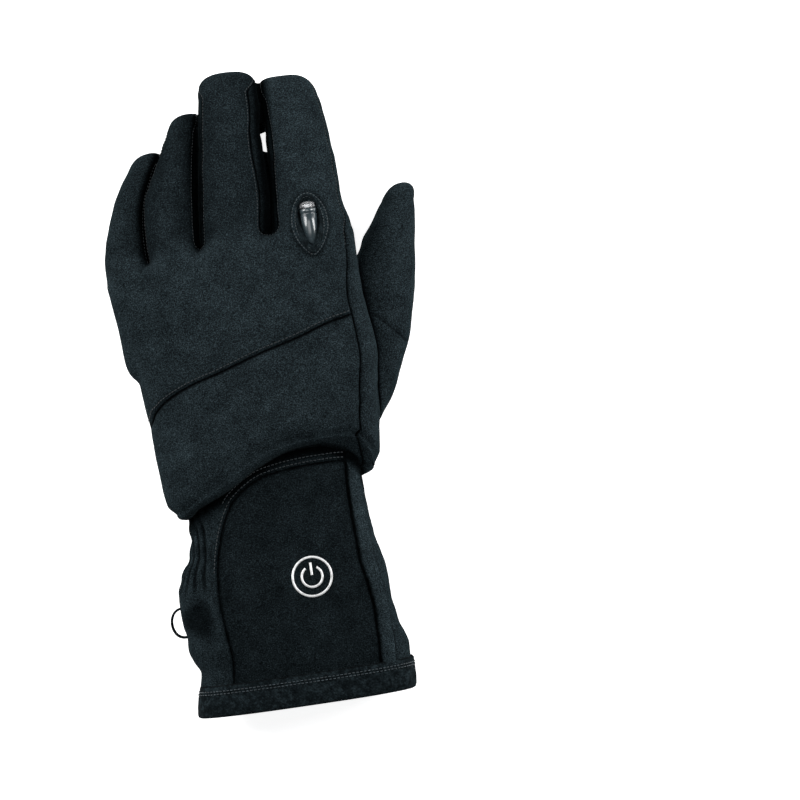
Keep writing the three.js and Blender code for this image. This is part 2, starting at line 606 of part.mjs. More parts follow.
function makeCuff() {
  const panelRows = PANEL_ROWS.map((row) => ({
    y: row.y * CUFF_LENGTH,
    left: row.left * CUFF_WIDTH,
    right: row.right * CUFF_WIDTH,
  }));
  const ys = panelRows.map((row) => row.y);
  ys[0] = HEM_WIDTH + SEAM_GAP;
  const left = (y) => cuffAngle(y, rowAt(panelRows, y).left);
  const right = (y) => cuffAngle(y, rowAt(panelRows, y).right);
  const beside = (y, distance) => angleAfter(y, right(y), distance);
  const clear = 2 * SEAM_GAP;
  const leftClear = (y) => cuffAngle(y, rowAt(panelRows, y).left - clear);
  const window = cuffPatch(
    [HEM_WIDTH - 1, ...ys.slice(1, -1), ys.at(-1) + clear],
    leftClear, (y) => beside(y, TAPE_WIDTH + SEAM_GAP + clear), PAST, -CUFF_WALL - PAST, WINDOW_COLUMNS,
  );
  const whole = cuffTube(HEM_WIDTH + SEAM_GAP, CUFF_LENGTH, 0).subtract(
    cuffTube(HEM_WIDTH - 1, CUFF_LENGTH + 1, -CUFF_WALL, CUFF_SIDES / 3),
  );
  const tape = cuffPatch(
    ys, (y) => beside(y, SEAM_GAP), (y) => beside(y, TAPE_WIDTH + SEAM_GAP), TAPE_PROUD, -CUFF_WALL,
    TAPE_COLUMNS,
  );
  addPiece("cuff_shell", whole.subtract(window), FABRIC);
  addPiece("cuff_panel", cuffPatch(ys, left, right, 0, -CUFF_WALL, PANEL_COLUMNS), FABRIC);
  addPiece("cuff_tape", tape, FABRIC);
  const ground = prism(
    [[-CUFF_WIDTH, -DEEP], [CUFF_WIDTH, -DEEP], [CUFF_WIDTH, DEEP], [-CUFF_WIDTH, DEEP]], -DEEP, 0,
  );
  const mouth = cuffTube(-1, HEM_WIDTH + 1, -CUFF_WALL, BAND_SIDES);
  const band = cuffTube(0, HEM_WIDTH, HEM_PROUD, BAND_SIDES).subtract(mouth).subtract(ground);
  addPiece("hem_band", band, FABRIC);
}

// A round reflective mark on the cuff's panel: a ring around a broken ring and a bar.
function makeEmblem() {
  const centre = new THREE.Vector2(EMBLEM_CENTRE.x * CUFF_WIDTH, EMBLEM_CENTRE.y * CUFF_LENGTH);
  const radius = EMBLEM_DIAMETER / 2;
  const around = (spare, grow) =>
    cuffTube(centre.y - radius - spare, centre.y + radius + spare, grow, BAND_SIDES);
  const layer = around(PAST, SEAM_GAP + EMBLEM_RELIEF).subtract(around(PAST + 1, SEAM_GAP));
  const arc = (middle, from, to, steps) => {
    const at = (r, i) => {
      const turn = mix(from, to, i / steps);
      return [centre.x + r * Math.cos(turn), centre.y + r * Math.sin(turn)];
    };
    const [inner, outer] = [middle - EMBLEM_LINE / 2, middle + EMBLEM_LINE / 2];
    return [
      ...Array.from({ length: steps + 1 }, (_, i) => at(outer, i)),
      ...Array.from({ length: steps + 1 }, (_, i) => at(inner, steps - i)),
    ];
  };
  const disc = (r) =>
    Array.from({ length: EMBLEM_SIDES }, (_, i) => {
      const turn = (i / EMBLEM_SIDES) * 2 * Math.PI;
      return [centre.x + r * Math.cos(turn), centre.y + r * Math.sin(turn)];
    });
  const cut = (r) => prism(disc(r), CUFF_HEIGHT / 2);
  const ring = cut(radius).subtract(cut(radius - EMBLEM_LINE));
  addPiece("emblem_ring", layer.intersect(ring), REFLECTIVE);
  const broken = prism(arc(radius / 2, Math.PI * 0.68, Math.PI * 2.32, ARC_STEPS), CUFF_HEIGHT / 2);
  addPiece("emblem_arc", layer.intersect(broken), REFLECTIVE);
  const [w, low, high] = [EMBLEM_LINE / 2, radius * BAR.low, radius * BAR.high];
  const bar = prism(
    [[-w, low], [w, low], [w, high], [-w, high]].map(([x, y]) => [centre.x + x, centre.y + y]),
    CUFF_HEIGHT / 2,
  );
  addPiece("emblem_bar", layer.intersect(bar), REFLECTIVE);
}

// The small light at the index finger's knuckle, the welt round its opening and the pocket under it.
function makeLight() {
  const hole = prism(eye(SLOT_WIDTH, SLOT_LENGTH), lightRow.z);
  const patch = prism(eye(WELT_WIDTH, WELT_LENGTH), lightRow.z);
  const raised = bodySolid(SEAM_GAP + WELT_WALL).subtract(bodySolid(SEAM_GAP));
  const welt = raised.intersect(patch).subtract(hole);
  addPiece("light_welt", welt, FABRIC);
  const inside = -HAND_WALL - SEAM_GAP;
  const floor = prism(eye(SLOT_WIDTH + 2 * PAST, SLOT_LENGTH + 2 * PAST), lightRow.z);
  const lining = fingerSolid(index, inside).subtract(fingerSolid(index, inside - POCKET_WALL));
  addPiece("light_pocket", lining.intersect(floor), FABRIC);

  const axisZ = lightTopZ + LIGHT_RISE;
  const profile = (points) => {
    const turned = points.map(([r, y]) => new THREE.Vector2(r, y));
    const lathe = new THREE.LatheGeometry(turned, LIGHT_SIDES);
    return solidOf(lathe.translate(LIGHT_X, LIGHT_Y, axisZ));
  };
  const [start, end] = [-LIGHT_LENGTH / 2, LIGHT_LENGTH / 2 - LENS_LENGTH];
  const nose = NOSE.map((row) => [row.wide * LIGHT_RADIUS, start + row.along * LIGHT_LENGTH]);
  const body = profile([...nose, [LIGHT_RADIUS, end], [0, end]]);
  addPiece("light_body", body.subtract(bodySolid(SEAM_GAP).subtract(hole)), GLOSS);
  const glass = LENS_LENGTH - SEAM_GAP;
  const lens = LENS.map((row) => [row.wide * LIGHT_RADIUS, end + SEAM_GAP + row.along * glass]);
  addPiece("light_lens", profile(lens), CLEAR);
}

// The webbing loop at the little finger's side of the cuff, by which the glove is hung or clipped.
function makeLoop() {
  const middleY = LOOP_MIDDLE * CUFF_LENGTH;
  const row = rowAt(cuffRows, middleY);
  const skinX = row.x - row.halfWidth - SEAM_GAP;
  const arch = (reach, length) =>
    Array.from({ length: LOOP_STEPS + 1 }, (_, i) => {
      const turn = (i / LOOP_STEPS) * Math.PI;
      return [skinX - reach * Math.sin(turn), middleY + (length / 2) * Math.cos(turn)];
    });
  const inner = arch(LOOP_REACH - LOOP_WALL, LOOP_LENGTH - 2 * LOOP_WALL);
  const outline = [...arch(LOOP_REACH, LOOP_LENGTH), ...inner.reverse()];
  const webbing = prism(outline, row.z - LOOP_WIDTH / 2, row.z + LOOP_WIDTH / 2);
  addPiece("pull_loop", webbing.subtract(cuffTube(HEM_WIDTH, CUFF_LENGTH, SEAM_GAP)), FABRIC);
}

makeHand();
makeThumb();
makeCuff();
makeEmblem();
makeLight();
makeLoop();

// The origin is on the floor under the middle of the glove's outline.
const bounds = new THREE.Box3().setFromObject(glove);
glove.position.set(-(bounds.min.x + bounds.max.x) / 2, -(bounds.min.y + bounds.max.y) / 2, -bounds.min.z);

export default glove;
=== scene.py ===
"""A padded winter cycling glove for the left hand, lying palm down on a pale floor.

The hand, fingers and thumb are one smooth surface, found where a distance field is zero. It is cut along
its seam lines into the sewn panels, which get grooves, puckers, folds and stitches. The cuff is a grid on a
lofted tube. Lengths are in millimetres until the meshes are made. X runs towards the thumb, Y towards the
fingertips, Z is up.
"""
import math

import bpy
import numpy as np
from mathutils import Matrix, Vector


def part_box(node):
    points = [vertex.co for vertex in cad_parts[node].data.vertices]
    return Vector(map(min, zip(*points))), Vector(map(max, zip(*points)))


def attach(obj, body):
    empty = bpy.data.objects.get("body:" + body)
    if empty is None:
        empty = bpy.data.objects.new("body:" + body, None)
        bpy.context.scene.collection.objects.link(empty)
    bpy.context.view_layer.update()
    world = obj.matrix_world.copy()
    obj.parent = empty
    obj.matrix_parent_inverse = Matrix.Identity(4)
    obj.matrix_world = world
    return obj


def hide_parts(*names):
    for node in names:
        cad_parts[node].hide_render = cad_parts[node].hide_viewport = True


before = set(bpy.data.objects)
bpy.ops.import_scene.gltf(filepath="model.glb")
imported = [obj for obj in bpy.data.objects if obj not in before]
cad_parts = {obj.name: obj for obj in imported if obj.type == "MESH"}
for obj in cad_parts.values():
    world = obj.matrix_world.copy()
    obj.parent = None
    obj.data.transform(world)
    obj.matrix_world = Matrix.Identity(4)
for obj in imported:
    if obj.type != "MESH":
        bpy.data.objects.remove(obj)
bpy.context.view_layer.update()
MM = 0.001

# Named sizes, as in the CAD
HAND_LENGTH, HAND_WIDTH, HAND_HEIGHT = 112.0, 110.0, 47.0
HAND_ROLL, HAND_SQUARE = 4.0, 2.7
WRIST_SKEW, KNUCKLE_SKEW = 5.0, 5.0
CUFF_LENGTH, CUFF_WIDTH, CUFF_HEIGHT, CUFF_SQUARE, CUFF_TUCK = 118.0, 96.0, 43.0, 2.5, 23.0
THUMB_LENGTH, THUMB_WIDTH, THUMB_HEIGHT, THUMB_SQUARE = 105.0, 30.0, 27.0, 2.2
THUMB_ROOT = (34.0, 116.0)
HEM_WIDTH, HEM_PROUD = 14.0, 1.0
FINGER_SQUARE, FINGER_ROLL = 2.7, 4.0
HAND_WALL, CUFF_WALL = 2.4, 2.0
WRIST_Y = CUFF_LENGTH - CUFF_TUCK

hem_low, hem_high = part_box("hem_band")
SHIFT = np.array([hem_low[0] / MM + 0.49 * CUFF_WIDTH + HEM_PROUD, hem_low[1] / MM, 0.0])

# (along, left, right, base, top, wrist, knuckle), shares as in the CAD
HAND_ROWS = [
    (0.0, -0.405, 0.41, 0.043, 0.91, 1.0, 0.0),
    (0.045, -0.436, 0.436, 0.01, 0.96, 1.0, 0.0),
    (0.13, -0.446, 0.441, -0.03, 0.985, 0.98, 0.0),
    (0.295, -0.464, 0.459, -0.04, 0.99, 0.5, 0.0),
    (0.48, -0.48, 0.482, 0.01, 1.0, 0.0, 0.0),
    (0.688, -0.514, 0.464, 0.09, 0.98, 0.0, 0.2),
    (0.812, -0.536, 0.453, 0.16, 0.95, 0.0, 0.6),
    (0.9, -0.542, 0.45, 0.23, 0.9, 0.0, 1.0),
]
HAND_FRONT = 0.075  # the knuckles' rounded front, as a share of HAND_LENGTH
HAND_RIM = 0.05  # the wrist fold's rounded edge

# (along, left, right, base, top)
CUFF_ROWS = [
    (0.0, -0.497, 0.495, -0.03, 0.975),
    (0.06, -0.488, 0.5, -0.03, 0.98),
    (0.12, -0.468, 0.501, -0.03, 0.99),
    (0.165, -0.462, 0.501, -0.03, 1.0),
    (0.21, -0.486, 0.487, -0.02, 1.0),
    (0.25, -0.496, 0.468, -0.02, 1.0),
    (0.295, -0.492, 0.46, -0.02, 1.0),
    (0.35, -0.507, 0.449, -0.015, 0.995),
    (0.41, -0.512, 0.448, 0.0, 0.985),
    (0.47, -0.506, 0.442, 0.02, 0.97),
    (0.53, -0.482, 0.428, 0.05, 0.945),
    (0.6, -0.435, 0.41, 0.09, 0.905),
    (0.68, -0.418, 0.4, 0.115, 0.87),
    (0.76, -0.418, 0.399, 0.12, 0.86),
    (0.86, -0.406, 0.405, 0.122, 0.855),
    (1.0, -0.396, 0.396, 0.128, 0.85),
]

# rows are (y, x, half width) of the centreline; z falls from root_z to tip_z, faster towards the tip if
# droop is more; left and right are the heights of the back's seams, as shares of the half height; tip is the
# rounded end's length
FINGERS = [
    dict(name="little", rows=[(170, -49.0, 9.5), (184, -49.5, 9.8), (195, -49.9, 10.4), (205, -49.8, 10.3),
                              (216, -48.2, 9.1), (229, -45.0, 8.1), (238, -41.0, 7.8), (243, -38.3, 7.2)],
         root_z=23.0, tip_z=8.0, droop=1.3, height=21.0, tip=7.0, left=0.1, right=0.6),
    dict(name="ring", rows=[(172, -29.0, 12.0), (190, -28.1, 11.5), (205, -28.3, 12.0), (216, -27.9, 12.5),
                            (227, -26.7, 12.6), (237, -24.2, 11.4), (248, -20.6, 9.5), (256, -17.8, 8.3)],
         root_z=26.5, tip_z=6.4, droop=2.2, height=23.0, tip=9.5, left=0.3, right=0.7),
    dict(name="middle", rows=[(172, -3.0, 14.6), (190, -2.3, 15.0), (208, -1.2, 16.0), (221, 0.4, 16.2),
                              (230, 1.0, 15.8), (240, 1.3, 14.9), (252, 2.1, 14.2), (262, 3.3, 14.2),
                              (270, 3.7, 13.6)],
         root_z=29.0, tip_z=12.0, droop=2.6, height=25.0, tip=10.5, left=0.65, right=0.8),
    dict(name="index", rows=[(172, 31.0, 16.5), (190, 31.6, 17.8), (207, 31.6, 17.4), (217, 30.8, 15.9),
                             (230, 31.0, 15.4), (240, 31.3, 14.6), (252, 30.8, 14.0), (259, 30.2, 14.1),
                             (265, 29.4, 13.6)],
         root_z=29.0, tip_z=7.0, droop=2.4, height=25.0, tip=12.0, left=0.75, right=0.35),
]
# (along, high)
HIGH_ROWS = [(0.0, 0.9), (0.12, 1.03), (0.3, 1.05), (0.45, 1.01), (0.7, 0.97), (0.9, 0.92)]
ROOT_BLEND = 2.5
FINGER_SLOT = 1.3  # how deep the fingers' sides draw in where they touch
TIP_SQUARE = 2.9  # above 2 the fingertips are blunt
# (along, across, rise, wide, high)
THUMB_ROWS = [
    (0.0, -0.04, 0.5, 1.1, 0.84), (0.13, 0.02, 0.49, 1.42, 1.0), (0.33, 0.105, 0.48, 1.44, 1.06),
    (0.48, 0.165, 0.47, 1.34, 1.04), (0.6, 0.215, 0.46, 1.16, 1.0), (0.68, 0.254, 0.455, 0.98, 0.97),
    (0.74, 0.279, 0.45, 0.83, 0.94), (0.8, 0.3, 0.44, 0.75, 0.92), (0.88, 0.334, 0.43, 0.58, 0.86),
    (0.93, 0.354, 0.425, 0.45, 0.78),
]

# The back's fold over the cuff, and the seams seen from above:
# x as a share of HAND_WIDTH, y as a share of HAND_LENGTH from the wrist fold
WRIST_EDGE = [(-0.6, -0.13), (-0.45, -0.1), (-0.36, -0.078), (-0.315, -0.045), (-0.185, 0.016),
              (-0.053, 0.092), (0.075, 0.138), (0.2, 0.152), (0.3, 0.146), (0.375, 0.11),
              (0.42, 0.064), (0.5, 0.0)]
BACK_SEAM = [(-0.7, 0.18), (-0.465, 0.32), (-0.44, 0.356), (-0.372, 0.406), (-0.265, 0.45), (-0.16, 0.478),
             (0.01, 0.53), (0.18, 0.574), (0.305, 0.614), (0.4, 0.635), (0.7, 0.75)]
THUMB_SEAM = [(0.35, 0.73), (0.473, 0.637), (0.562, 0.552), (0.615, 0.497), (0.75, 0.37)]
PAD_SEAM = [(-0.7, 0.93), (-0.46, 0.96), (-0.38, 1.02), (-0.26, 1.055), (0.0, 1.055), (0.28, 1.04),
            (0.45, 1.0), (0.7, 1.0)]
PATCH_TOP = [(-0.7, 0.85), (-0.45, 0.82), (-0.27, 0.78), (-0.11, 0.76), (0.07, 0.795), (0.23, 0.78),
             (0.36, 0.71)]
PATCH_THUMB = [(0.3, 0.6), (0.22, 0.48), (0.155, 0.35)]
PATCH_BASE = [(0.125, 0.22), (0.0, 0.25), (-0.45, 0.3), (-0.7, 0.32)]
# (y as a share of CUFF_LENGTH, left, right as shares of CUFF_WIDTH)
PANEL_ROWS = [(0.1, -0.318, 0.362), (0.21, -0.3, 0.371), (0.29, -0.309, 0.372), (0.41, -0.322, 0.356),
              (0.52, -0.316, 0.333), (0.645, -0.283, 0.328), (0.77, -0.215, 0.327), (0.82, -0.146, 0.33),
              (0.865, -0.03, 0.335), (0.88, 0.12, 0.34)]
TAPE_WIDTH = 7.5

NORMAL_STEP = 0.05
rng = np.random.default_rng(7)


# Small maths
def curve(points):
    """A smooth function through (t, value) points that doesn't overshoot them."""
    t, v = np.array(points, float).T
    h = np.diff(t)
    d = np.diff(v) / h
    m = np.zeros_like(v)
    m[0], m[-1] = d[0], d[-1]
    same = d[:-1] * d[1:] > 0
    m[1:-1][same] = 2 * d[:-1][same] * d[1:][same] / (d[:-1][same] + d[1:][same])

    def at(x):
        x = np.asarray(x, float)
        i = np.clip(np.searchsorted(t, x) - 1, 0, len(h) - 1)
        s = np.clip((x - t[i]) / h[i], 0, 1)
        a, b = v[i], v[i + 1]
        return ((1 + 2 * s) * (1 - s) ** 2 * a + s * (1 - s) ** 2 * h[i] * m[i]
                + s * s * (3 - 2 * s) * b + s * s * (s - 1) * h[i] * m[i + 1])
    return at


def smoothstep(low, high, x):
    s = np.clip((x - low) / (high - low), 0, 1)
    return s * s * (3 - 2 * s)


def smooth_min(a, b, k):
    h = np.clip(0.5 + 0.5 * (b - a) / k, 0, 1)
    return b * (1 - h) + a * h - k * h * (1 - h)


LATTICE = rng.random((32, 32, 32)) * 2 - 1


def noise(p, scale, offset=0.0):
    """Smooth noise from -1 to 1 with features of the given size; scale may be one number or three."""
    q = p / np.asarray(scale, float) + offset
    base = np.floor(q).astype(int)
    s = q - base
    s = s * s * (3 - 2 * s)
    total = 0.0
    for corner in range(8):
        step = np.array([corner & 1, corner >> 1 & 1, corner >> 2 & 1])
        weight = np.prod(np.where(step, s, 1 - s), axis=-1)
        cell = (base + step) & 31
        total = total + weight * LATTICE[cell[..., 0], cell[..., 1], cell[..., 2]]
    return total


# The limbs' distance fields
class Limb:
    """A loft of rounded sections along Y with rounded ends."""

    def __init__(self, rows, square, roll, tip, root, tip_square=None):
        """rows are (y, x, z, half width, half height); tip and root are the rounded ends' lengths."""
        rows = np.array(rows, float)
        self.low, self.high = rows[0, 0], rows[-1, 0]
        self.x, self.z, self.a, self.b = (curve(rows[:, (0, k)]) for k in (1, 2, 3, 4))
        self.square, self.tip, self.root = square, tip, root
        self.tip_square = tip_square or square
        self.cos, self.sin = math.cos(math.radians(roll)), math.sin(math.radians(roll))
        step = 3.0
        self.lean = [(f(self.high) - f(self.high - step)) / step for f in (self.x, self.z)]

    def local(self, p, y):
        """Across and up in the section, and the section's half sizes."""
        inside = np.clip(y, self.low, self.high)
        past = np.maximum(0, y - self.high)
        dx = p[..., 0] - self.x(inside) - past * self.lean[0]
        dz = p[..., 2] - self.z(inside) - past * self.lean[1]
        u = dx * self.cos + dz * self.sin
        v = dz * self.cos - dx * self.sin
        return u, v, self.a(inside), self.b(inside)

    def distance(self, p, y=None):
        y = p[..., 1] if y is None else y
        u, v, a, b = self.local(p, y)
        n, m = self.square, self.tip_square
        e = np.maximum(0, y - self.high) / self.tip + np.maximum(0, self.low - y) / self.root
        size = np.where(y > self.high, self.tip, self.root)
        s, t = np.abs(u) / a, np.abs(v) / b
        g = np.maximum((s ** n + t ** n) ** (1 / n), 1e-6)
        f = np.maximum((g ** m + e ** m) ** (1 / m), 1e-6)
        inner = (s / g) ** (2 * n - 2) / a ** 2 + (t / g) ** (2 * n - 2) / b ** 2
        slope = np.sqrt((g / f) ** (2 * m - 2) * inner + (e / f) ** (2 * m - 2) / size ** 2)
        return (f - 1) / np.maximum(slope, 1e-3)


wrist_edge = curve(WRIST_EDGE)
hand_curves = {
    "wrist": curve([(WRIST_Y + r[0] * HAND_LENGTH, r[5]) for r in HAND_ROWS]),
    "knuckle": curve([(WRIST_Y + r[0] * HAND_LENGTH, r[6]) for r in HAND_ROWS]),
}
hand = Limb(
    [(WRIST_Y + r[0] * HAND_LENGTH, (r[1] + r[2]) / 2 * HAND_WIDTH, (r[3] + r[4]) / 2 * HAND_HEIGHT,
      (r[2] - r[1]) / 2 * HAND_WIDTH, (r[4] - r[3]) / 2 * HAND_HEIGHT) for r in HAND_ROWS],
    HAND_SQUARE, HAND_ROLL, HAND_FRONT * HAND_LENGTH, HAND_RIM * HAND_LENGTH,
)


def hand_y(p):
    """y measured from the wrist fold's own arched line."""
    y = p[..., 1]
    u, v, a, b = hand.local(p, y)
    c = np.clip(u / a, -1, 1)
    back = smoothstep(-0.3, 0.6, v / b)
    wrist, knuckle = hand_curves["wrist"](y), hand_curves["knuckle"](y)
    x = np.clip(p[..., 0] / HAND_WIDTH, WRIST_EDGE[0][0], WRIST_EDGE[-1][0])
    edge = (wrist_edge(x) + HAND_RIM) * HAND_LENGTH
    return y - wrist * (edge * back + WRIST_SKEW * c * (1 - back)) - knuckle * KNUCKLE_SKEW * c


def finger_limb(f):
    first, end = f["rows"][0][0], f["rows"][-1][0] + f["tip"]
    rows = []
    for y, x, half_width in f["rows"]:
        along = (y - first) / (end - first)
        rows.append((y, x, f["root_z"] + (f["tip_z"] - f["root_z"]) * along ** f["droop"], half_width,
                     f["height"] / 2 * curve(HIGH_ROWS)(along)))
    return Limb(rows, FINGER_SQUARE, FINGER_ROLL, f["tip"], 20.0, TIP_SQUARE)


fingers = [finger_limb(f) for f in FINGERS]
thumb = Limb(
    [(THUMB_ROOT[1] + r[0] * THUMB_LENGTH, THUMB_ROOT[0] + r[1] * THUMB_LENGTH, r[2] * THUMB_HEIGHT,
      r[3] * THUMB_WIDTH / 2, r[4] * THUMB_HEIGHT / 2) for r in THUMB_ROWS],
    THUMB_SQUARE, 0.0, THUMB_LENGTH * (1 - THUMB_ROWS[-1][0]), 12.0,
)

cuff_curves = [curve([(r[0] * CUFF_LENGTH, r[k]) for r in CUFF_ROWS]) for k in (1, 2, 3, 4)]


def cuff_section(y):
    left, right, base, top = (f(y) for f in cuff_curves)
    return ((left + right) / 2 * CUFF_WIDTH, (base + top) / 2 * CUFF_HEIGHT,
            (right - left) / 2 * CUFF_WIDTH, (top - base) / 2 * CUFF_HEIGHT)


def cuff_distance(p):
    x, z, a, b = cuff_section(p[..., 1])
    s, t = np.abs(p[..., 0] - x) / a, np.abs(p[..., 2] - z) / b
    f = np.maximum((s ** CUFF_SQUARE + t ** CUFF_SQUARE) ** (1 / CUFF_SQUARE), 1e-6)
    slope = np.sqrt((s / f) ** (2 * CUFF_SQUARE - 2) / a ** 2 + (t / f) ** (2 * CUFF_SQUARE - 2) / b ** 2)
    return (f - 1) / slope


def parts_of(p):
    """Distances to the hand, the four fingers and the thumb, stacked."""
    return np.stack([hand.distance(p, hand_y(p))] + [f.distance(p) for f in fingers] + [thumb.distance(p)])


def body_of(parts, p):
    """The hand with its fingers, which run smoothly into the back and meet it sharply between them."""
    middle = np.zeros(p.shape[:-1])
    for limb in fingers:
        u, v, a, b = limb.local(p, p[..., 1])
        middle = np.maximum(middle, smoothstep(0.95, 0.45, np.abs(u / a)) * smoothstep(0.1, 0.6, v / b))
    middle = middle * smoothstep(178, 200, p[..., 1])
    return smooth_min(parts[0], parts[1:5].min(axis=0), ROOT_BLEND * (1 + 3.5 * middle))


def field(p):
    parts = parts_of(p)
    body = body_of(parts, p)
    near = smoothstep(118, 150, p[..., 1])
    skin = smooth_min(body, parts[5], 7.0 - 5.8 * near)
    return -smooth_min(-skin, p[..., 2] - 0.05, 1.6)


# Meshes as arrays
class Skin:
    """Triangles with named numbers at their vertices, which follow every cut."""

    def __init__(self, points, faces, values):
        self.points, self.faces, self.values = points, faces, values

    def take(self, faces):
        used, inverse = np.unique(faces, return_inverse=True)
        return Skin(self.points[used], inverse.reshape(-1, 3), {k: v[used] for k, v in self.values.items()})

    def cut(self, name):
        """The part where the value is above 0 and the part where it is below, cut along the zero line."""
        s = self.values[name]
        s = np.where(np.abs(s) < 1e-4, 1e-4, s)
        above = s[self.faces] > 0
        count = above.sum(axis=1)
        mixed = self.faces[(count == 1) | (count == 2)]
        if len(mixed) == 0:
            return self.take(self.faces[count == 3]), self.take(self.faces[count == 0])
        up = s[mixed] > 0
        lone = np.where(up.sum(axis=1) == 1, up.argmax(axis=1), (~up).argmax(axis=1))
        rows = np.arange(len(mixed))
        a, b, c = (mixed[rows, (lone + k) % 3] for k in range(3))
        edges = np.sort(np.concatenate([np.stack([a, b], 1), np.stack([a, c], 1)]), axis=1)
        unique, inverse = np.unique(edges, axis=0, return_inverse=True)
        inverse = inverse.ravel()
        i, j = unique.T
        t = s[i] / (s[i] - s[j])
        new = len(self.points) + np.arange(len(unique))
        between = self.points[i] + t[:, None] * (self.points[j] - self.points[i])
        points = np.concatenate([self.points, between])
        values = {k: np.concatenate([v, v[i] + t * (v[j] - v[i])]) for k, v in self.values.items()}
        ab, ac = new[inverse[:len(mixed)]], new[inverse[len(mixed):]]
        tip = np.stack([a, ab, ac], 1)
        rest = np.concatenate([np.stack([ab, b, c], 1), np.stack([ab, c, ac], 1)])
        whole = Skin(points, self.faces, values)
        lone_up = s[a] > 0
        twice = np.concatenate([lone_up, lone_up])
        high = np.concatenate([self.faces[count == 3], tip[lone_up], rest[~twice]])
        low = np.concatenate([self.faces[count == 0], tip[~lone_up], rest[twice]])
        return whole.take(high), whole.take(low)


def surface(low, high, step):
    """The zero surface of the field inside a box, as a triangle mesh by surface nets."""
    axes = [np.arange(a, b + step, step) for a, b in zip(low, high)]
    shape = tuple(len(a) for a in axes)
    value = np.empty(shape, np.float32)
    for i in range(0, shape[0], 24):
        grid = np.stack(np.meshgrid(axes[0][i:i + 24], axes[1], axes[2], indexing="ij"), axis=-1)
        value[i:i + 24] = field(grid)
    inside = value < 0
    cells = tuple(n - 1 for n in shape)
    corner = [(i, j, k) for i in (0, 1) for j in (0, 1) for k in (0, 1)]
    window = lambda o: tuple(slice(o[d], o[d] + cells[d]) for d in range(3))
    total = sum(inside[window(o)].astype(np.int8) for o in corner)
    live = (total > 0) & (total < 8)
    number = np.full(cells, -1, np.int64)
    cell = np.argwhere(live)
    number[live] = np.arange(len(cell))
    centre = np.zeros((len(cell), 3))
    hits = np.zeros(len(cell))
    for axis in range(3):
        for o in corner:
            if o[axis]:
                continue
            e = list(o)
            e[axis] = 1
            p, q = cell + np.array(o), cell + np.array(e)
            va, vb = value[tuple(p.T)], value[tuple(q.T)]
            cross = (va < 0) != (vb < 0)
            t = va[cross] / (va[cross] - vb[cross])
            spot = p[cross].astype(float)
            spot[:, axis] += t
            centre[cross] += spot
            hits[cross] += 1
    points = centre / hits[:, None] * step + np.array(low)
    quads = []
    for axis in range(3):
        b, c = (axis + 1) % 3, (axis + 2) % 3
        lo = [slice(None)] * 3
        lo[axis] = slice(0, -1)
        hi = [slice(None)] * 3
        hi[axis] = slice(1, None)
        first, second = inside[tuple(lo)], inside[tuple(hi)]
        edge = np.argwhere(first != second)
        keep = (edge[:, b] > 0) & (edge[:, c] > 0) & (edge[:, b] < cells[b]) & (edge[:, c] < cells[c])
        edge = edge[keep]
        flip = ~first[tuple(edge.T)]
        around = []
        for db, dc in ((-1, -1), (0, -1), (0, 0), (-1, 0)):
            spot = edge.copy()
            spot[:, b] += db
            spot[:, c] += dc
            around.append(number[tuple(spot.T)])
        quad = np.stack(around, 1)
        quad[flip] = quad[flip][:, ::-1]
        quads.append(quad)
    quads = np.concatenate(quads)
    faces = np.concatenate([quads[:, [0, 1, 2]], quads[:, [0, 2, 3]]])
    return points, faces


def relaxed(points, faces, rounds, share):
    """The mesh evened out, each vertex moved towards its neighbours' middle."""
    i, j = np.concatenate([faces[:, [0, 1]], faces[:, [1, 2]], faces[:, [2, 0]]]).T
    for _ in range(rounds):
        total, count = np.zeros_like(points), np.zeros(len(points))
        for a, b in ((i, j), (j, i)):
            np.add.at(total, a, points[b])
            np.add.at(count, a, 1)
        points = points + share * (total / count[:, None] - points)
    return points


def gradient(p, f=field):
    parts = []
    for axis in range(3):
        step = np.zeros(3)
        step[axis] = NORMAL_STEP
        parts.append((f(p + step) - f(p - step)) / (2 * NORMAL_STEP))
    return np.stack(parts, axis=-1)


def projected(points, rounds=3):
    for _ in range(rounds):
        g = gradient(points)
        size = np.maximum((g ** 2).sum(axis=1), 0.2)
        move = -(field(points) / size)[:, None] * g
        points = points + np.clip(move, -0.6, 0.6)
    return points


# Seam values
def line_y(table):
    points = [(x * HAND_WIDTH, WRIST_Y + y * HAND_LENGTH) for x, y in table]
    return curve(points)


def seam_distance(p, table):
    """Signed distance seen from above to a seam that runs across the hand, positive towards the fingers."""
    f = line_y(table)
    slope = (f(p[:, 0] + 1) - f(p[:, 0] - 1)) / 2
    return (p[:, 1] - f(p[:, 0])) / np.sqrt(1 + slope ** 2)


def polygon_distance(p, outline):
    """Signed distance seen from above to a closed outline, positive inside."""
    xy = p[:, :2]
    corners = np.array(outline)
    best = np.full(len(p), 1e9)
    inside = np.zeros(len(p), bool)
    for a, b in zip(corners, np.roll(corners, -1, axis=0)):
        edge = b - a
        t = np.clip(((xy - a) @ edge) / (edge @ edge), 0, 1)
        best = np.minimum(best, np.linalg.norm(xy - a - t[:, None] * edge, axis=1))
        crosses = (a[1] > xy[:, 1]) != (b[1] > xy[:, 1])
        x = a[0] + (xy[:, 1] - a[1]) * edge[0] / (edge[1] if edge[1] else 1e-9)
        inside ^= crosses & (xy[:, 0] < x)
    return np.where(inside, best, -best)


def rounded_outline(points):
    """The outline with its corners eased, by three rounds of corner cutting."""
    points = np.array(points, float)
    for _ in range(3):
        after = np.roll(points, -1, axis=0)
        points = np.stack([0.75 * points + 0.25 * after, 0.25 * points + 0.75 * after], 1).reshape(-1, 2)
    return points


def section_angle(share, square):
    """The turn from the section's side up to a height given as a share of its half height."""
    across = (1 - np.abs(share) ** square) ** (1 / square)
    return np.arctan2(share, across)


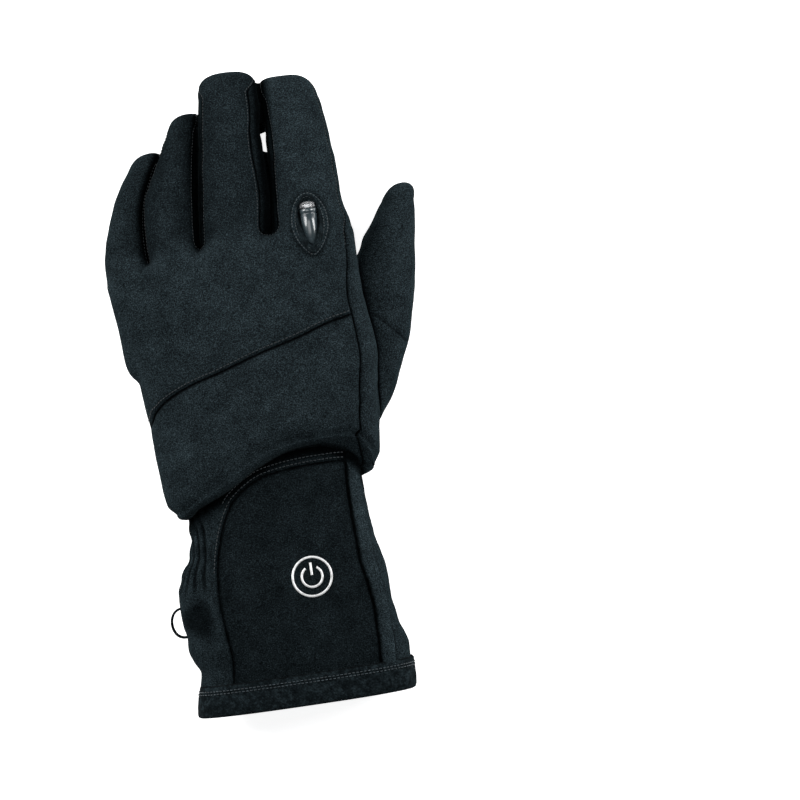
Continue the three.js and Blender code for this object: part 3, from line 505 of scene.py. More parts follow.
HAND_SEAMS = (0.12, 0.64)
HAND_PALM, FINGER_PALM = -0.35, -0.45


def seam_values(p):
    """The values whose zero lines are the long seams, at the back's edge and at the palm's."""
    parts = parts_of(p)
    weight = np.exp(-(parts[:5] - parts[:5].min(axis=0)) / 1.2)
    weight /= weight.sum(axis=0)
    top, palm = 0.0, 0.0
    limbs = [(hand, *HAND_SEAMS, HAND_PALM, hand_y(p))]
    limbs += [(limb, f["left"], f["right"], FINGER_PALM, p[:, 1]) for limb, f in zip(fingers, FINGERS)]
    for k, (limb, left, right, under, y) in enumerate(limbs):
        u, v, a, b = limb.local(p, y)
        if k == 0:
            full = b * (1 - np.minimum(np.abs(u / a), 1) ** limb.square) ** (1 / limb.square) * np.sign(v)
            v = v + smoothstep(limb.low + 1, limb.low - 1, y) * (full - v)
        meet = 1 - smoothstep(limb.high, limb.high + 0.85 * limb.tip, y) if k else 1.0
        turn = np.arctan2(v / b, u / a)
        turn = np.where(turn < -math.pi / 2, turn + 2 * math.pi, turn)
        radius = np.sqrt(u * u + v * v)
        reach = np.minimum(turn - section_angle(right * meet, limb.square),
                           math.pi - section_angle(left * meet, limb.square) - turn)
        lower = np.where(turn > math.pi / 2, math.pi - turn, turn)
        top = top + weight[k] * np.clip(reach * radius, -14, 14)
        under_reach = section_angle(under * meet, limb.square) - lower
        palm = palm + weight[k] * np.clip(under_reach * radius, -14, 14)
    return parts, top, palm


def eye(box_low, box_high):
    """An outline that is pointed towards the hem and rounder towards the fingertip, filling a box."""
    (x0, y0), (x1, y1) = box_low, box_high
    turn = np.linspace(0, 2 * math.pi, 40, endpoint=False)
    along = np.sin(turn)
    narrow = np.where(along < 0, 1 + 0.35 * along * np.abs(along), 1)
    return np.stack([(x0 + x1) / 2 + (x1 - x0) / 2 * np.cos(turn) * narrow,
                     (y0 + y1) / 2 + (y1 - y0) / 2 * along], 1)


def glove_box(node):
    """A CAD node's box in the glove's own millimetres."""
    low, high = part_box(node)
    return np.array(low) / MM - SHIFT, np.array(high) / MM - SHIFT


print("hand surface")
STEP = 0.7
points, faces = surface((-68, WRIST_Y - 18, -2), (84, 286, 56), STEP)
points = relaxed(points, faces, 2, 0.5)
points = projected(points)
points = relaxed(points, faces, 1, 0.3)
points = projected(points, 1)

parts, top, palm = seam_values(points)
body = body_of(parts, points)
nearest = parts[1:5].argmin(axis=0)
every = np.arange(len(points))
across = np.stack([limb.local(points, points[:, 1])[0] for limb in fingers])[nearest, every]
along = np.stack([(points[:, 1] - limb.low) / (limb.high + limb.tip - limb.low) for limb in fingers])
along = along[nearest, every]
thumb_u, thumb_v, thumb_a, thumb_b = thumb.local(points, points[:, 1])
PATCH = PATCH_TOP + PATCH_THUMB + PATCH_BASE
patch = rounded_outline([(x * HAND_WIDTH, WRIST_Y + y * HAND_LENGTH) for x, y in PATCH])
welt_low, welt_high = glove_box("light_welt")
light_low, light_high = glove_box("light_body")
slot = eye(welt_low[:2] + (3.8, 2.5), welt_high[:2] - (3.8, 2.5))
skin = Skin(points, faces, {
    "thumb": body - parts[5],
    "top": top,
    "palm": palm,
    "back": seam_distance(points, BACK_SEAM),
    "pad": seam_distance(points, PAD_SEAM),
    "thumb_seam": np.abs(seam_distance(points, THUMB_SEAM)) + 9 * smoothstep(2, -2, thumb_v),
    "patch": polygon_distance(points, patch),
    "front": seam_distance(points, PATCH_TOP + [(0.7, PATCH_TOP[-1][1])]),
    "across": across,
    "along": along,
    "nearest": nearest.astype(float),
    "neighbour": np.sort(parts[1:5], axis=0)[1] + 30.0 * smoothstep(0.0, 2.5, parts[1:5].min(axis=0)),
    "slot": np.where(points[:, 2] > 20, polygon_distance(points, slot), -30),
    "welt": np.where(points[:, 2] > 20, polygon_distance(points, eye(welt_low[:2], welt_high[:2])), -30),
    "thumb_turn": np.arctan2(thumb_v / thumb_b, thumb_u / thumb_a) % (2 * math.pi) - 1.22 * math.pi,
    "thumb_along": (points[:, 1] - THUMB_ROOT[1]) / THUMB_LENGTH,
    "fold": cuff_distance(points),
    "outside_cuff": np.maximum(cuff_distance(points) + 0.3, points[:, 1] - CUFF_LENGTH),
})


def hand_relief(p, v):
    """How far the padded skin stands out of its smooth form, in millimetres, and its painted shade from 0 to
    1.
    """
    body_zone = smoothstep(-0.5, 0.5, -v["thumb"])
    top_zone = smoothstep(-0.6, 0.6, v["top"]) * body_zone
    palm_zone = smoothstep(-0.6, 0.6, v["palm"]) * body_zone
    away = 30.0
    lines = np.stack([
        np.abs(v["top"]) + away * (1 - body_zone),
        np.abs(v["palm"]) + away * (1 - body_zone),
        np.abs(v["back"]) + away * (1 - top_zone),
        np.abs(v["pad"]) + away * (1 - palm_zone),
        np.abs(v["patch"]) + away * (1 - palm_zone * smoothstep(0.5, -0.5, v["pad"])),
        np.abs(v["front"]) + away * (1 - palm_zone * smoothstep(0.5, -0.5, v["patch"])),
        np.abs(v["thumb"]) * 0.7,
        v["thumb_seam"] + 0.35 + away * body_zone,
        np.abs(v["along"] - 0.52) * 110 + 0.4 + away * (1 - palm_zone * smoothstep(-0.5, 0.5, v["pad"])),
        np.abs(v["along"] - 0.74) * 110 + 0.4 + away * (1 - palm_zone * smoothstep(-0.5, 0.5, v["pad"])),
    ])
    s = lines.min(axis=0)
    apart = smoothstep(-0.5, 3.5, v["neighbour"])
    out = 0.35 - 0.8 * np.exp(-s / 0.8) - 0.75 * np.exp(-s / 4.5) * apart
    out += 0.4 * noise(p, 4.6) * np.exp(-s / 3.2) * smoothstep(0.0, 3.0, v["neighbour"])
    near_wrist = smoothstep(150, 100, p[:, 1])
    out += 0.7 * noise(p, (30, 36, 30)) + (0.3 + 0.7 * near_wrist) * noise(p, (17, 13, 15), 7.3)
    out -= FINGER_SLOT * np.exp(-v["neighbour"] / 0.9) * body_zone
    on_finger = smoothstep(0.2, 0.4, v["along"]) * body_zone
    out += 0.35 * on_finger * noise(p, (15, 5.5, 12), 3.1)
    out += 0.3 * (1 - body_zone) * noise(p, (10, 6, 9), 5.7)
    rise = smoothstep(0.0, 1.2, v["welt"]) * 0.7
    # Painted shade, from here on: the colour is darkened in the seams' grooves, along the welt's edge, in
    # and beside the slots between the fingers (most on the ring and middle fingers) and under the wrist
    # fold.
    between = smoothstep(0.4, -0.9, v["top"]) * smoothstep(12.0, 4.0, v["neighbour"])
    between = between * (1 - 0.6 * (v["nearest"] > 2.5))
    on_fingers = smoothstep(0.15, 0.35, v["along"]) * (v["nearest"] < 2.5)
    shade = np.interp(v["nearest"], range(4), [0.5, 0.9, 0.85, 0.0])
    finger_painted_shade = shade * np.exp(-v["neighbour"] / 14.0) * on_fingers
    slot_painted_shade = np.max([smoothstep(6.5, 1.5, v["neighbour"]), between, finger_painted_shade], axis=0) * body_zone
    welt_painted_shade = 0.7 * np.exp(-np.abs(v["welt"]) / 0.5)
    fold_painted_shadow = 0.8 * smoothstep(2.5, 0.3, v["fold"]) * smoothstep(0.0, 6.0, p[:, 2])
    fold_painted_shadow = fold_painted_shadow * smoothstep(CUFF_LENGTH, CUFF_LENGTH - 4, p[:, 1])
    seam_painted_shade = np.exp(-(s / 0.62) ** 2) + 0.28 * np.exp(-s / 2.5)
    painted_shade = np.max([seam_painted_shade, slot_painted_shade, welt_painted_shade, fold_painted_shadow], axis=0)
    return out + rise, np.clip(painted_shade, 0, 1)


def relieved(skin, relief, normal):
    out, painted_shade = relief(skin.points, skin.values)
    moved = skin.points + out[:, None] * normal
    moved[:, 2] = np.maximum(moved[:, 2], 0.02)
    return moved, painted_shade


def unit(v):
    return v / np.maximum(np.linalg.norm(v, axis=-1, keepdims=True), 1e-9)


# Blender objects
collection = bpy.context.scene.collection


def mesh_object(name, points, faces, material, nodes=(), painted_shade=()):
    """A mesh from glove millimetres, riding on the glove and standing for the CAD nodes named.

    The optional darkening, from 0 to 1, is painted shade for the first points' seams, slots and folds.
    """
    mesh = bpy.data.meshes.new(name)
    faces = np.asarray(faces)
    sides = faces.shape[1]
    mesh.vertices.add(len(points))
    mesh.vertices.foreach_set("co", ((points + SHIFT) * MM).astype(np.float32).ravel())
    mesh.loops.add(faces.size)
    mesh.loops.foreach_set("vertex_index", faces.astype(np.int32).ravel())
    mesh.polygons.add(len(faces))
    mesh.polygons.foreach_set("loop_start", np.arange(0, faces.size, sides, dtype=np.int32))
    mesh.update(calc_edges=True)
    mesh.validate()
    mesh.shade_smooth()
    if len(painted_shade):
        layer = mesh.attributes.new("painted_shade", "FLOAT", "POINT")
        layer.data.foreach_set("value", np.concatenate([painted_shade, np.zeros(len(points) - len(painted_shade))]))
    mesh.materials.append(material)
    obj = bpy.data.objects.new(name, mesh)
    collection.objects.link(obj)
    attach(obj, "root")
    if nodes:
        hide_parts(*nodes)
    return obj


def thick(points, faces, inner):
    """Closed walls between an outer skin and the inner places of its vertices."""
    edges = np.concatenate([faces[:, [0, 1]], faces[:, [1, 2]], faces[:, [2, 0]]])
    key = np.sort(edges, axis=1)
    _, index, count = np.unique(key, axis=0, return_index=True, return_counts=True)
    rim = edges[index[count == 1]]
    n = len(points)
    wall = np.concatenate([np.stack([rim[:, 1], rim[:, 0], rim[:, 0] + n], 1),
                           np.stack([rim[:, 1], rim[:, 0] + n, rim[:, 1] + n], 1)])
    return np.concatenate([points, inner]), np.concatenate([faces, faces[:, ::-1] + n, wall])


def isolines(points, normals, faces, value, level=0.0):
    """Polylines of (points, normals) where a vertex value has the level."""
    s = value - level
    s = np.where(np.abs(s) < 1e-6, 1e-6, s)
    up = s[faces] > 0
    mixed = faces[up.any(axis=1) & ~up.all(axis=1)]
    links, spots = {}, {}
    for triangle in mixed:
        ends = []
        for i, j in ((0, 1), (1, 2), (2, 0)):
            a, b = triangle[i], triangle[j]
            if (s[a] > 0) != (s[b] > 0):
                key = (min(a, b), max(a, b))
                if key not in spots:
                    t = s[a] / (s[a] - s[b])
                    spots[key] = np.concatenate([points[a] + t * (points[b] - points[a]),
                                                 normals[a] + t * (normals[b] - normals[a])])
                ends.append(key)
        if len(ends) == 2:
            links.setdefault(ends[0], []).append(ends[1])
            links.setdefault(ends[1], []).append(ends[0])
    lines, seen = [], set()
    for start in sorted(links, key=lambda k: (len(links[k]), k)):
        if start in seen:
            continue
        line, here = [start], start
        seen.add(start)
        while True:
            after = [k for k in links[here] if k not in seen]
            if not after:
                break
            here = after[0]
            seen.add(here)
            line.append(here)
        if len(line) > 3:
            lines.append(np.array([spots[k] for k in line]))
    return lines


def keep_where(lines, test):
    """The runs of the polylines' points that pass a test on their places."""
    kept = []
    for line in lines:
        good = test(line[:, :3])
        start = None
        for i, flag in enumerate(list(good) + [False]):
            if flag and start is None:
                start = i
            if not flag and start is not None:
                if i - start > 3:
                    kept.append(line[start:i])
                start = None
    return kept


CAPSULE = [(-0.5, 0.3, -0.25), (-0.4, 0.85, 0.0), (0.0, 1.0, 0.12), (0.4, 0.85, 0.0), (0.5, 0.3, -0.25)]
CAPSULE_SIDES = 6


def stitched(name, lines, material, spacing=1.75, length=1.25, radius=0.23, lift=0.1):
    """A row of thread stitches along each polyline, joined as one object."""
    centres, tangents, ups = [], [], []
    for line in lines:
        place, up = line[:, :3], unit(line[:, 3:])
        for _ in range(3):
            place[1:-1] = (place[:-2] + 2 * place[1:-1] + place[2:]) / 4
        reach = np.concatenate([[0], np.cumsum(np.linalg.norm(np.diff(place, axis=0), axis=1))])
        if reach[-1] < spacing:
            continue
        at = np.arange(spacing / 2, reach[-1] - length / 2, spacing)
        pick = lambda t, v: np.stack([np.interp(t, reach, v[:, k]) for k in range(3)], 1)
        centres.append(pick(at, place))
        tangents.append(unit(pick(at + length / 2, place) - pick(at - length / 2, place)))
        ups.append(unit(pick(at, up)))
    centre, t, up = (np.concatenate(v) for v in (centres, tangents, ups))
    side = unit(np.cross(t, up))
    up = np.cross(side, t)
    turn = np.arange(CAPSULE_SIDES) / CAPSULE_SIDES * 2 * math.pi
    rings = []
    for share, size, rise in CAPSULE:
        middle = centre + share * length * t + (lift + rise * radius) * up
        ring = (middle[:, None] + size * radius * (np.cos(turn)[None, :, None] * side[:, None]
                                                   + np.sin(turn)[None, :, None] * up[:, None]))
        rings.append(ring)
    block = np.stack(rings, 1).reshape(len(centre), -1, 3)
    faces = []
    for i in range(len(CAPSULE) - 1):
        for k in range(CAPSULE_SIDES):
            a, b = i * CAPSULE_SIDES + k, i * CAPSULE_SIDES + (k + 1) % CAPSULE_SIDES
            faces += [(a, b, b + CAPSULE_SIDES), (a, b + CAPSULE_SIDES, a + CAPSULE_SIDES)]
    last = (len(CAPSULE) - 1) * CAPSULE_SIDES
    for k in range(1, CAPSULE_SIDES - 1):
        faces += [(0, k + 1, k), (last, last + k, last + k + 1)]
    per = block.shape[1]
    block[..., 2] = np.maximum(block[..., 2], 0.02)
    all_faces = (np.array(faces)[None] + np.arange(len(centre))[:, None, None] * per).reshape(-1, 3)
    print(name, len(centre), "stitches")
    return mesh_object(name, block.reshape(-1, 3), all_faces, material)


# Materials
class Nodes:
    """Short names for building a material's node tree."""

    def __init__(self, name):
        self.material = bpy.data.materials.new(name)
        self.material.use_nodes = True
        self.tree = self.material.node_tree
        self.shader = self.tree.nodes["Principled BSDF"]
        self.place = self.add("ShaderNodeTexCoord").outputs["Object"]

    def add(self, kind, **values):
        node = self.tree.nodes.new(kind)
        for key, value in values.items():
            setattr(node, key, value)
        return node

    def link(self, source, target):
        self.tree.links.new(source, target)

    def noise(self, size, detail=2.0, rough=0.5, stretch=(1, 1, 1)):
        mapping = self.add("ShaderNodeMapping")
        mapping.inputs["Scale"].default_value = [s / (size * MM) for s in stretch]
        self.link(self.place, mapping.inputs["Vector"])
        node = self.add("ShaderNodeTexNoise")
        node.inputs["Scale"].default_value = 1.0
        node.inputs["Detail"].default_value = detail
        node.inputs["Roughness"].default_value = rough
        self.link(mapping.outputs["Vector"], node.inputs["Vector"])
        return node.outputs["Fac"]

    def cells(self, size, feature="F1"):
        node = self.add("ShaderNodeTexVoronoi", feature=feature)
        node.inputs["Scale"].default_value = 1 / (size * MM)
        self.link(self.place, node.inputs["Vector"])
        return node.outputs["Distance"]

    def waves(self, size, direction="X", distort=0.0):
        node = self.add("ShaderNodeTexWave", bands_direction=direction)
        node.inputs["Scale"].default_value = 0.314 / (size * MM)
        node.inputs["Distortion"].default_value = distort
        node.inputs["Detail Scale"].default_value = 3.0
        self.link(self.place, node.inputs["Vector"])
        return node.outputs["Fac"]

    def math(self, operation, a, b):
        node = self.add("ShaderNodeMath", operation=operation)
        for socket, value in zip(node.inputs, (a, b)):
            if isinstance(value, (int, float)):
                socket.default_value = value
            else:
                self.link(value, socket)
        return node.outputs[0]

    def ramp(self, value, stops):
        node = self.add("ShaderNodeValToRGB")
        self.link(value, node.inputs["Fac"])
        while len(node.color_ramp.elements) < len(stops):
            node.color_ramp.elements.new(0.5)
        for element, (position, color) in zip(node.color_ramp.elements, stops):
            element.position = position
            element.color = (*color, 1)
        return node.outputs["Color"]
    def bump(self, height, strength, distance, after=None):
        node = self.add("ShaderNodeBump")
        node.inputs["Strength"].default_value = strength
        node.inputs["Distance"].default_value = distance * MM
        self.link(height, node.inputs["Height"])
        if after is not None:
            self.link(after, node.inputs["Normal"])
        return node.outputs["Normal"]

    def with_painted_shade(self, color, depth=0.93):
        """The colour darkened by the painted shade stored on the mesh for its creases, slots and folds."""
        layer = self.add("ShaderNodeAttribute", attribute_name="painted_shade")
        keep = self.math("SUBTRACT", 1.0, self.math("MULTIPLY", layer.outputs["Fac"], depth))
        node = self.add("ShaderNodeVectorMath", operation="SCALE")
        self.link(color, node.inputs[0])
        self.link(keep, node.inputs["Scale"])
        return node.outputs[0]

    def finish(self, color=None, normal=None, **values):
        for key, value in values.items():
            socket = self.shader.inputs[key.replace("_", " ")]
            if isinstance(value, (int, float, tuple)):
                socket.default_value = value
            else:
                self.link(value, socket)
        if color is not None:
            self.link(color, self.shader.inputs["Base Color"])
        if normal is not None:
            self.link(normal, self.shader.inputs["Normal"])
        return self.material


CAST = (0.68, 1.0, 1.15)  # the fabric's cold tone


def gray(v, cast=(1, 1, 1)):
    return tuple(v * c for c in cast)


def softshell_material(name, level=1.0, cast=CAST):
    n = Nodes(name)
    fibres = n.noise(0.55, 1.0, 0.9, (1, 1.2, 1))
    blotches = n.noise(9.0, 3.0, 0.6)
    heather = n.math("ADD", n.math("MULTIPLY", fibres, 0.8), n.math("MULTIPLY", blotches, 0.2))
    color = n.ramp(heather, [(0.33, gray(0.003 * level, cast)), (0.46, gray(0.013 * level, cast)),
                             (0.56, gray(0.0245 * level, cast)), (0.7, gray(0.062 * level, cast))])
    weave = n.math("ADD", n.waves(0.5, "X", 1.2), n.waves(0.5, "Y", 1.2))
    normal = n.bump(weave, 0.15, 0.1, n.bump(fibres, 0.7, 0.35))
    return n.finish(n.with_painted_shade(color), normal, Roughness=0.9, Specular_IOR_Level=0.0, Sheen_Weight=0.02,
                    Sheen_Roughness=0.3, Sheen_Tint=(0.7, 0.95, 1.0, 1.0))


def leather_material(name, level=1.0):
    n = Nodes(name)
    grain = n.cells(1.3, "SMOOTH_F1")
    fine = n.noise(0.35, 3.0, 0.6)
    tone = n.noise(14, 3.0, 0.6)
    color = n.ramp(tone, [(0.3, gray(0.006 * level, CAST)), (0.55, gray(0.012 * level, CAST)),
                          (0.8, gray(0.022 * level, CAST))])
    normal = n.bump(grain, 0.9, 0.35, n.bump(fine, 0.25, 0.08))
    roughness = n.math("ADD", n.math("MULTIPLY", grain, 0.3), 0.38)
    return n.finish(n.with_painted_shade(color), normal, Roughness=roughness, Specular_IOR_Level=0.26)


def binding_material(name, level=1.0):
    n = Nodes(name)
    ribs = n.waves(0.7, "DIAGONAL", 0.6)
    fuzz = n.noise(0.9, 3.0, 0.7)
    mottle = n.math("ADD", n.math("MULTIPLY", fuzz, 0.55), n.math("MULTIPLY", n.noise(3.0, 3.0, 0.6), 0.45))
    color = n.ramp(mottle, [(0.36, gray(0.0035 * level, CAST)), (0.5, gray(0.011 * level, CAST)),
                            (0.62, gray(0.03 * level, CAST))])
    normal = n.bump(ribs, 0.4, 0.15, n.bump(fuzz, 0.4, 0.15))
    return n.finish(n.with_painted_shade(color), normal, Roughness=0.85, Specular_IOR_Level=0.0, Sheen_Weight=0.02,
                    Sheen_Roughness=0.4)


def thread_material(name, level=0.016):
    n = Nodes(name)
    twist = n.waves(0.35, "DIAGONAL", 0.4)
    tone = n.noise(1.2, 2.0, 0.5)
    color = n.ramp(tone, [(0.3, gray(level * 0.5, CAST)), (0.7, gray(level * 1.6, CAST))])
    return n.finish(color, n.bump(twist, 0.5, 0.1), Roughness=0.5, Specular_IOR_Level=0.4)


def reflective_material(name):
    n = Nodes(name)
    beads = n.noise(0.18, 2.0, 0.5)
    wear = n.noise(1.6, 3.0, 0.65)
    color = n.ramp(wear, [(0.28, gray(0.42)), (0.45, gray(0.68)), (0.7, gray(0.8))])
    return n.finish(color, n.bump(beads, 0.3, 0.05), Roughness=0.38, Metallic=0.25)


def gloss_material(name):
    n = Nodes(name)
    smears = n.noise(5.0, 3.0, 0.6)
    roughness = n.math("ADD", n.math("MULTIPLY", smears, 0.12), 0.2)
    color = n.ramp(smears, [(0.3, gray(0.03, CAST)), (0.7, gray(0.05, CAST))])
    return n.finish(color, n.bump(smears, 0.03, 0.05), Roughness=roughness, Specular_IOR_Level=0.6,
                    Coat_Weight=0.6, Coat_Roughness=0.04)


def lens_material(name):
    n = Nodes(name)
    ripple = n.noise(1.5, 1.0, 0.4)
    return n.finish(None, n.bump(ripple, 0.05, 0.05), Base_Color=(0.95, 0.97, 1.0, 1.0), Roughness=0.03,
                    Transmission_Weight=0.9, IOR=1.49)


softshell = softshell_material("softshell", 0.9)
# cuff_fabric and cuff_sides are darker copies of the softshell: partly the cuff's own fabric, partly painted
# shade where the light falls off towards the hem.
cuff_fabric = softshell_material("cuff_fabric", 0.45)
cuff_sides = softshell_material("cuff_sides", 0.8)
binding = binding_material("binding", 0.8)
leather = leather_material("grained_leather")
reflective = reflective_material("reflective")
gloss = gloss_material("light_plastic")
clear = lens_material("clear_lens")
thread = thread_material("thread")
taped = softshell_material("cuff_tape", 1.1)
pale = thread_material("pale_thread", 0.032)

# The hand's pieces
print("hand pieces")
outer, _ = skin.cut("outside_cuff")
thumb_part, body_part = outer.cut("thumb")
back_part, rest = body_part.cut("top")
upper, lower = back_part.cut("back")
_, upper = upper.cut("slot")
under, side_part = rest.cut("palm")
pads, palm_part = under.cut("pad")
patch_part, palm_part = palm_part.cut("patch")
front_part, heel_part = palm_part.cut("front")


def by_face(skin, number):
    return {int(k): skin.take(skin.faces[number == k]) for k in np.unique(number)}


def face_mean(skin, name):
    return skin.values[name][skin.faces].mean(axis=1)


pad_pieces = by_face(pads, np.round(face_mean(pads, "nearest")))
side_label = np.round(face_mean(side_part, "nearest")) + (face_mean(side_part, "across") > 0)
side_pieces = by_face(side_part, side_label)
thumb_part.values["strip"] = np.minimum(
    0.42 - np.abs(thumb_part.values["thumb_turn"])
    - 0.42 * (1 - smoothstep(0.3, 0.55, thumb_part.values["thumb_along"]))
    - 0.42 * smoothstep(0.75, 0.99, thumb_part.values["thumb_along"]), 0.4)
strip_part, thumb_rest = thumb_part.cut("strip")

hand_pieces = [
    ("back_upper", upper, softshell, "softshell"), ("back_lower", lower, softshell, "softshell"),
    ("side_little", side_pieces[0], softshell, "softshell"),
    ("fourchette_little_ring", side_pieces[1], softshell, "softshell"),
    ("fourchette_ring_middle", side_pieces[2], softshell, "softshell"),
    ("fourchette_middle_index", side_pieces[3], softshell, "softshell"),
    ("side_index", side_pieces[4], softshell, "softshell"),
    ("pad_little", pad_pieces[0], leather, "grained_leather"),
    ("pad_ring", pad_pieces[1], leather, "grained_leather"),
    ("pad_middle", pad_pieces[2], leather, "grained_leather"),
    ("pad_index", pad_pieces[3], leather, "grained_leather"),
    ("palm_patch", patch_part, leather, "grained_leather"),
    ("palm_front", front_part, softshell, "softshell"),
    ("palm_heel", heel_part, softshell, "softshell"), ("thumb_shell", thumb_rest, softshell, "softshell"),
    ("thumb_strip", strip_part, leather, "grained_leather"),
]
moved_skins = {}
for name, part, material, slot_name in hand_pieces:
    normal = unit(gradient(part.points))
    moved, painted_shade = relieved(part, hand_relief, normal)
    moved_skins[name] = (moved, normal, part)
    whole, whole_faces = thick(moved, part.faces, part.points - HAND_WALL * normal)
    mesh_object(name, whole, whole_faces, material, [name], painted_shade=painted_shade)

# The cuff
print("cuff")
COLUMNS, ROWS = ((300, 150))


def cuff_point(y, turn, grow):
    x, z, a, b = cuff_section(y)
    c, s = np.cos(turn), np.sin(turn)
    power = 2 / CUFF_SQUARE
    return np.stack([x + (a + grow) * np.sign(c) * np.abs(c) ** power, y,
                     z + (b + grow) * np.sign(s) * np.abs(s) ** power], -1)


turns = np.arange(COLUMNS) / COLUMNS * 2 * math.pi - math.pi / 2
turn_grid, y_grid = np.meshgrid(turns, np.linspace(0, CUFF_LENGTH, ROWS))
cuff_points = cuff_point(y_grid, turn_grid, 0.0)
step_length = np.linalg.norm(np.diff(cuff_points, axis=1), axis=2)
arc = np.concatenate([np.zeros((ROWS, 1)), np.cumsum(step_length, axis=1)], axis=1)
top_column = np.argmin(np.abs(turns - math.pi / 2))
arc = arc[:, top_column:top_column + 1] - arc  # from the back's middle line, positive towards the thumb
panel_left = curve([(r[0] * CUFF_LENGTH, r[1] * CUFF_WIDTH) for r in PANEL_ROWS])
panel_right = curve([(r[0] * CUFF_LENGTH, r[2] * CUFF_WIDTH) for r in PANEL_ROWS])
PANEL_END = PANEL_ROWS[-1][0] * CUFF_LENGTH
on_top = [k for k in range(COLUMNS) if abs(turns[k] - math.pi / 2) < math.pi / 2]
arc_right = np.array([
    np.interp(panel_right(y_grid[i, 0]), *zip(*sorted((cuff_points[i, k, 0], arc[i, k]) for k in on_top)))
    for i in range(ROWS)
])
outline = [(panel_left(y), y) for y in np.linspace(-6, PANEL_END, 60)]
outline += [(panel_right(y), y) for y in np.linspace(PANEL_END, -6, 60)]
flat = cuff_points.reshape(-1, 3)
panel_value = polygon_distance(flat, rounded_outline(outline))
middle_z = cuff_section(flat[:, 1])[1]
panel_value = np.where(flat[:, 2] > middle_z, panel_value, -30)
past_right = (arc - arc_right[:, None]).reshape(-1)
index = np.arange(ROWS * COLUMNS).reshape(ROWS, COLUMNS)
nxt = np.roll(index, -1, axis=1)
quad = np.stack([index[:-1], nxt[:-1], nxt[1:], index[1:]], -1).reshape(-1, 4)
cuff_faces = np.concatenate([quad[:, [0, 1, 2]], quad[:, [0, 2, 3]]])
cuff_skin = Skin(flat, cuff_faces, {
    "panel": np.minimum(panel_value, -past_right),
    "tape": np.minimum(np.minimum(past_right, TAPE_WIDTH - past_right), PANEL_END + 4 - flat[:, 1]),
    "edge": panel_value,
    "arc": arc.reshape(-1),
    "turn": turn_grid.reshape(-1),
})


def cuff_relief(p, v):
    """Gathers, folds and steps of the cuff, in millimetres, and its painted shade from 0 to 1."""
    y, a = p[:, 1], v["arc"]
    below = smoothstep(0.1, -0.35, np.sin(v["turn"]))
    left = smoothstep(-29, -33, a)
    elastic = smoothstep(52, 60, y) * smoothstep(100, 92, y) * np.maximum(below, left)
    warped = a + 1.6 * noise(p, 9.0)
    gathers = np.sin(warped * 2 * math.pi / 4.2 + 1.6 * noise(p, (14, 10, 14), 2.0))
    rows = np.sin((y - 62) * 2 * math.pi / 9.0)
    depth = 0.9 + 0.7 * below
    out = elastic * depth * (0.9 * gathers * (0.6 + 0.4 * rows) - 0.6 * np.maximum(rows, 0) * below)
    s = np.abs(v["edge"])
    out += -0.4 * np.exp(-s / 0.8) - 0.5 * np.exp(-s / 4.0)
    out += 0.45 * smoothstep(-0.3, 0.5, v["panel"])
    out += 1.2 * smoothstep(-0.3, 0.6, v["tape"])
    loose = 1 + 1.6 * smoothstep(-26, -34, a) * smoothstep(60, 50, y)
    out += 0.9 * noise(p, (26, 34, 26), 4.0) + 0.45 * loose * noise(p, (14, 11, 14), 8.0)
    out += 0.35 * noise(p, 4.2, 3.3) * np.exp(-s / 3.5)
    # Painted shade: the colour is darkened in the seams' grooves, along the tape's edges, in the gathers'
    # valleys, in the loose dents and under the hand's wrist fold.
    tape_edge = smoothstep(1.0, 0.3, np.abs(v["tape"])) * smoothstep(-2.0, -4.0, v["panel"])
    painted_shadow_under_fold = smoothstep(9.0, 1.5, hand.distance(p, hand_y(p)))
    ribs = 0.75 * elastic * smoothstep(0.3, -0.7, gathers)
    dent_painted_shade = 0.45 * (loose - 1) * smoothstep(-0.05, -0.6, noise(p, (14, 11, 14), 8.0))
    seams = np.exp(-(s / 0.7) ** 2) + 0.3 * np.exp(-s / 2.5)
    painted_shade = np.max([seams, 0.8 * tape_edge, painted_shadow_under_fold, ribs, dent_painted_shade], axis=0)
    return out * smoothstep(2, 16, y), np.clip(painted_shade, 0, 1)


def cuff_normal(p):
    return unit(gradient(p, cuff_distance))


panel_part, cuff_rest = cuff_skin.cut("panel")
tape_part, shell_part = cuff_rest.cut("tape")
for name, part, material, slot_name in [
    ("cuff_panel", panel_part, cuff_fabric, "cuff_fabric"), ("cuff_tape", tape_part, taped, "binding"),
    ("cuff_shell", shell_part, cuff_sides, "cuff_fabric"),
]:
    normal = cuff_normal(part.points)
    moved, painted_shade = relieved(part, cuff_relief, normal)
    in_hem = smoothstep(HEM_WIDTH - 0.5, HEM_WIDTH - 2.5, moved[:, 1])
    moved[:, 2] = np.maximum(moved[:, 2], 0.5 * in_hem)
    moved_skins[name] = (moved, normal, part)
    inner = part.points - CUFF_WALL * normal
    inner[:, 2] = np.maximum(inner[:, 2], 0.9)
    whole, whole_faces = thick(moved, part.faces, inner)
    mesh_object(name, whole, whole_faces, material, [name], painted_shade=painted_shade)

# The folded binding round the hem: (y, how far outside the cuff)
HEM_PROFILE = [
    (HEM_WIDTH - 0.6, 0.05), (HEM_WIDTH - 0.1, 0.55), (HEM_WIDTH - 0.9, 1.0), (11.4, 0.95), (9.0, 1.05),
    (5.0, 1.1), (1.6, 1.05), (0.5, 0.75), (0.05, 0.1), (0.0, -1.2), (0.4, -2.3), (2.0, -2.8), (11.0, -2.8),
    (12.0, -2.2),
]
hem_rings = []
